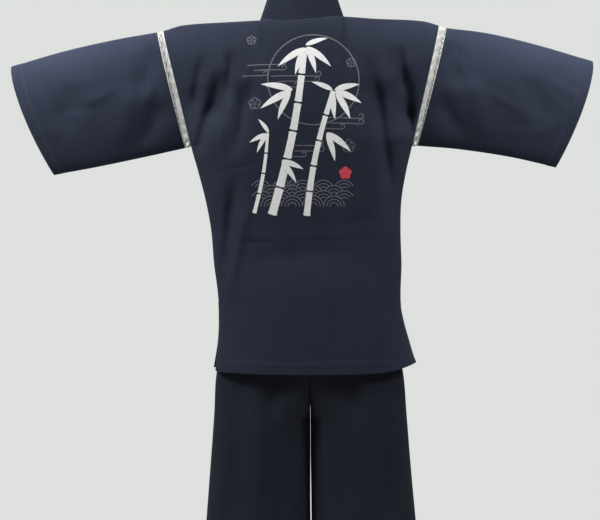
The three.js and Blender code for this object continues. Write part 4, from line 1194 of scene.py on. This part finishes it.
def brush_line(points, width, lift, step=3.0):
    """An even line with rounded ends through points, with more places near the ends of a long one."""
    rough = smooth_curve(points, BRUSH["fine"] * len(points))
    travelled = np.concatenate([[0], np.cumsum(np.linalg.norm(np.diff(rough, axis=0), axis=1))])
    end = travelled[-1]
    count = max(BRUSH["fewest"], round(end / step))
    along = end * crowded(count)
    if end > BRUSH["long"] * width:
        tip = [share * width for share in BRUSH["ends"]]
        along = [*tip, *np.linspace(BRUSH["even_from"] * width, end / 2, count // 2)]
        along = np.concatenate([along, end - np.array(along)[-2::-1]])
    path = np.stack([np.interp(along, travelled, rough[:, k]) for k in (0, 1)], -1)
    tip = np.minimum(1, np.minimum(along, end - along) / (width / 2))
    return Stroke(path, width * np.sqrt(np.maximum(TIP, 1 - (1 - tip) ** 2)), lift)


def leaf(across, up, angle, length, width, lift):
    """A pointed leaf that leaves a place at an angle, in degrees, and droops a little."""
    t = np.linspace(0, 1, LEAF["points"])
    heading = math.radians(angle)
    cosine, sine = math.cos(heading), math.sin(heading)
    droop = LEAF["droop"] * length * t**2 * (1 if cosine >= 0 else -1)
    path = np.stack([
        across + t * length * cosine + droop * sine,
        up + t * length * sine - abs(cosine) * np.abs(droop),
    ], -1)
    full = np.sin(np.pi * t ** LEAF["fullest"]) ** LEAF["belly"]
    return Stroke(path, width * np.maximum(LEAF["tip"], full), lift)


WHITE_LIFT = 0.46
LEAF = {"points": 22, "droop": 0.16, "fullest": 0.75, "belly": 0.85, "tip": 0.03}
LEAF_LAYERS = {"first": 0.04, "step": 0.03, "count": 5}  # so that crossing leaves lie apart
JOINT = {"gap": 0.03, "flare": 0.22, "fade": 0.06, "cap": 0.02, "narrowest": 0.15, "points": 20}
STALK_POINTS = 61
STALK_NARROWS = 0.3
Stalk = namedtuple("Stalk", "across up top_across top_up width joints bow")
STALKS = [
    Stalk(-62, -402, 4, -62, 17, 6, 10),
    Stalk(8, -404, 62, -150, 13, 5, -8),
    Stalk(-98, -398, -70, -236, 8, 4, 5),
]
Leaf = namedtuple("Leaf", "across up angle length width")
LEAVES = [
    Leaf(6, -64, 205, 66, 13), Leaf(6, -64, 240, 58, 12), Leaf(8, -62, -30, 62, 13),
    Leaf(8, -62, -62, 56, 12),
    Leaf(6, -58, 28, 46, 10), Leaf(-20, -150, 160, 64, 13), Leaf(-22, -152, 200, 70, 14),
    Leaf(-24, -154, 236, 60, 12), Leaf(64, -150, 24, 52, 12), Leaf(66, -152, -14, 56, 13),
    Leaf(66, -154, -52, 60, 13), Leaf(62, -154, -96, 54, 12), Leaf(60, -150, 150, 44, 10),
    Leaf(48, -236, -28, 60, 13), Leaf(48, -238, -64, 56, 12), Leaf(-70, -238, 196, 40, 9),
    Leaf(-70, -236, 232, 44, 9), Leaf(-68, -236, 118, 34, 8), Leaf(-42, -292, -12, 46, 11),
    Leaf(-42, -294, -46, 50, 11),
]
white_strokes = []
for stalk in STALKS:
    t = np.linspace(0, 1, STALK_POINTS)
    line_x = mix(stalk.across, stalk.top_across, t) + stalk.bow * np.sin(np.pi * t)
    line_z = mix(stalk.up, stalk.top_up, t)
    for joint in range(stalk.joints):
        start, end = (joint + JOINT["gap"]) / stalk.joints, (joint + 1 - JOINT["gap"]) / stalk.joints
        share = mix(start, end, crowded(JOINT["points"]))
        path = np.stack([np.interp(share, t, line_x), np.interp(share, t, line_z)], -1)
        from_end = np.minimum(share - start, end - share) / (end - start)
        flared = 1 + JOINT["flare"] * np.exp(-from_end / JOINT["fade"])
        cap = np.sqrt(np.maximum(JOINT["narrowest"], np.minimum(1, from_end / JOINT["cap"])))
        widths = stalk.width * flared * (1 - STALK_NARROWS * share) * cap
        white_strokes.append(Stroke(path, widths, WHITE_LIFT))
for k, one in enumerate(LEAVES):
    layer = LEAF_LAYERS["first"] + LEAF_LAYERS["step"] * (k % LEAF_LAYERS["count"])
    white_strokes.append(leaf(*one, WHITE_LIFT + layer))
WHITE = (0.6, 0.6, 0.6), (0.73, 0.73, 0.725)
pigment = two_toned("white_pigment", WHITE, roughness=0.6, **PIGMENT)
printed("print_white", white_strokes, pigment)

MOON = {"across": 22, "up": -128, "radius": 92, "width": 2.4}
CLOUDS = [(-112, -98, 74), (-64, -122, 96), (40, -206, 78), (-30, -262, 66)]
CLOUD_LINES = [(0, 0), (14, -11), (-10, -22)]  # each a step to the right and up
CLOUD = {"shorter": 0.18, "curl": 5.5, "turn": 1.6, "tighter": 0.35, "width": 1.9, "lift": 0.02}
CLOUD_SHAFT = {"rises_at": 0.3, "rise": 0.6, "before_curl": 8}
ARC_POINTS = {"moon": 241, "curl": 14, "wave": 41, "petal": 18}
WAVE = {"radius": 21, "rings": 3, "inwards": 0.31, "rows": 4, "up": -352, "width": 1.9, "reach": 108}
BLOSSOMS = [(-96, -176, 10), (92, -262, 11), (98, -92, 8), (-20, -340, 9), (-104, -44, 8)]
PETALS = 5
PETAL = {"centre": 0.62, "radius": 0.56, "arc": 2.0, "width": 1.5}
STAMEN = {"start": 0.2, "end": 0.45, "width": 1.1}
GREY_LIFT = 0.3


def arc_of(across, up, radius, angles):
    return np.stack([across + radius * np.cos(angles), up + radius * np.sin(angles)], -1)


def petal_heading(petal):
    return math.pi / 2 + 2 * math.pi * petal / PETALS


moon = arc_of(MOON["across"], MOON["up"], MOON["radius"], np.linspace(0, 2 * np.pi, ARC_POINTS["moon"]))
grey_strokes = [Stroke(moon, MOON["width"], GREY_LIFT)]
curl = np.linspace(0, CLOUD["turn"] * np.pi, ARC_POINTS["curl"])
curl_size = CLOUD["curl"] * (1 - CLOUD["tighter"] * curl / curl[-1])
for across, up, length in CLOUDS:
    for k, (inset, climb) in enumerate(CLOUD_LINES):
        left, level = across + inset, up + climb
        right = left + length * (1 - CLOUD["shorter"] * k)
        hook = [right + curl_size * np.sin(curl), level + CLOUD["curl"] - curl_size * np.cos(curl)]
        risen = left + length * CLOUD_SHAFT["rises_at"], level + CLOUD_SHAFT["rise"]
        shaft = (left, level), risen, (right - CLOUD_SHAFT["before_curl"], level)
        points = np.concatenate([shaft, np.stack(hook, -1)])
        grey_strokes.append(brush_line(points, CLOUD["width"], GREY_LIFT + CLOUD["lift"]))
for row in range(WAVE["rows"]):
    level = WAVE["up"] - row * WAVE["radius"] / 2
    for centre in (np.arange(-4, 5) * 2 + row % 2) * WAVE["radius"]:
        if abs(centre) > WAVE["reach"] - WAVE["radius"]:
            continue
        for ring in range(WAVE["rings"]):
            radius = WAVE["radius"] * (1 - WAVE["inwards"] * ring)
            arc = arc_of(centre, level, radius, np.linspace(0, np.pi, ARC_POINTS["wave"]))
            if row < WAVE["rows"] - 1:
                for neighbour in (-1, 1):
                    across = arc[:, 0] - centre - neighbour * WAVE["radius"]
                    away = np.hypot(across, arc[:, 1] - level + WAVE["radius"] / 2)
                    arc = arc[away > WAVE["radius"]]
            grey_strokes.append(Stroke(arc, WAVE["width"], GREY_LIFT))
for across, up, size in BLOSSOMS:
    for petal in range(PETALS):
        heading = petal_heading(petal)
        outwards = np.array([math.cos(heading), math.sin(heading)])
        centre = (across, up) + size * PETAL["centre"] * outwards
        angles = heading + np.linspace(-PETAL["arc"], PETAL["arc"], ARC_POINTS["petal"])
        arc = arc_of(*centre, size * PETAL["radius"], angles)
        grey_strokes.append(Stroke(arc, PETAL["width"], GREY_LIFT))
        reach = size * STAMEN["end"] * np.linspace(STAMEN["start"], 1, 5)[:, None]
        grey_strokes.append(Stroke((across, up) + reach * outwards, STAMEN["width"], GREY_LIFT))
GREY = (0.062, 0.062, 0.078), (0.108, 0.108, 0.13)
pigment = two_toned("grey_pigment", GREY, roughness=0.75, **PIGMENT)
printed("print_grey", grey_strokes, pigment)

RED_BLOSSOM = {"place": (86, -316), "size": 12, "centre": 0.58, "half": 0.5, "width": 0.98}
RED_LAYER = 0.02  # from one petal to the next
RED_POINTS = 15
red_strokes = []
for petal in range(PETALS):
    heading = petal_heading(petal)
    t = np.linspace(-1, 1, RED_POINTS)
    reach = RED_BLOSSOM["size"] * (RED_BLOSSOM["centre"] + RED_BLOSSOM["half"] * t)[:, None]
    path = RED_BLOSSOM["place"] + reach * (math.cos(heading), math.sin(heading))
    widths = RED_BLOSSOM["size"] * RED_BLOSSOM["width"] * np.sqrt(np.maximum(TIP, 1 - t**2))
    red_strokes.append(Stroke(path, widths, WHITE_LIFT + RED_LAYER * petal))
RED = (0.38, 0.03, 0.05), (0.56, 0.045, 0.07)
pigment = two_toned("red_pigment", RED, roughness=0.6, **PIGMENT)
printed("print_red", red_strokes, pigment)

# The floor and the light are plain: a pale floor, a pale surround, and soft boxes at studio height.
# None of them is part of the outfit.
FLOOR_LEVEL = -1.45
FLOOR_RADIUS = 1.95
FLOOR_TONE = (0.72, 0.74, 0.72, 1)
SURROUND_TONE = (0.73, 0.75, 0.73, 1)
FILL_LIGHT = 0.1  # of the surround, on the part, as a share of how bright it is behind it
bpy.ops.mesh.primitive_circle_add(
    vertices=96, radius=FLOOR_RADIUS, fill_type="NGON", location=(0, 0, FLOOR_LEVEL))
floor = bpy.context.object
floor.name = "floor"
pale, tree, shader = new_material("pale_floor")
shader["Base Color"].default_value = FLOOR_TONE
shader["Roughness"].default_value = 0.9
floor.data.materials.append(pale)
world = bpy.data.worlds.new("surround")
bpy.context.scene.world = world
world.use_nodes = True
surround = world.node_tree
surround.nodes["Background"].inputs["Color"].default_value = SURROUND_TONE
seen = add(surround, "ShaderNodeLightPath").outputs["Is Camera Ray"]
strength = math_of(surround, "MULTIPLY_ADD", seen, 1 - FILL_LIGHT, FILL_LIGHT)
surround.links.new(strength, surround.nodes["Background"].inputs["Strength"])
bpy.context.scene.view_settings.view_transform = "Standard"
Softbox = namedtuple("Softbox", "name place aim size power spread")
SOFTBOXES = [
    Softbox("high_key", (0.0, 0.5, 2.1), (0.0, 0.0, -0.3), 0.6, 44, 180),
    Softbox("key_left", (1.9, 1.0, 0.9), (0.1, 0.0, -0.3), 0.7, 46, 180),
    Softbox("key_right", (-1.9, 1.1, 0.9), (-0.1, 0.0, -0.3), 0.7, 29, 180),
    Softbox("sleeve_left", (0.62, 0.75, 0.95), (0.52, 0.0, -0.15), 0.35, 1.7, 36),
    Softbox("sleeve_right", (-0.62, 0.75, 0.95), (-0.52, 0.0, -0.14), 0.35, 1.7, 36),
    Softbox("front_fill", (0.6, -2.4, 1.0), (0.0, 0.0, -0.4), 1.4, 44, 180),
]
for box in SOFTBOXES:
    lamp = bpy.data.objects.new(box.name, bpy.data.lights.new(box.name, "AREA"))
    lamp.data.size = box.size
    lamp.data.energy = box.power
    lamp.data.spread = math.radians(box.spread)
    lamp.location = box.place
    aim = np.subtract(box.aim, box.place)
    lamp.rotation_euler = (math.acos(-aim[2] / np.linalg.norm(aim)), 0, math.atan2(-aim[0], aim[1]))
    bpy.context.scene.collection.objects.link(lamp)
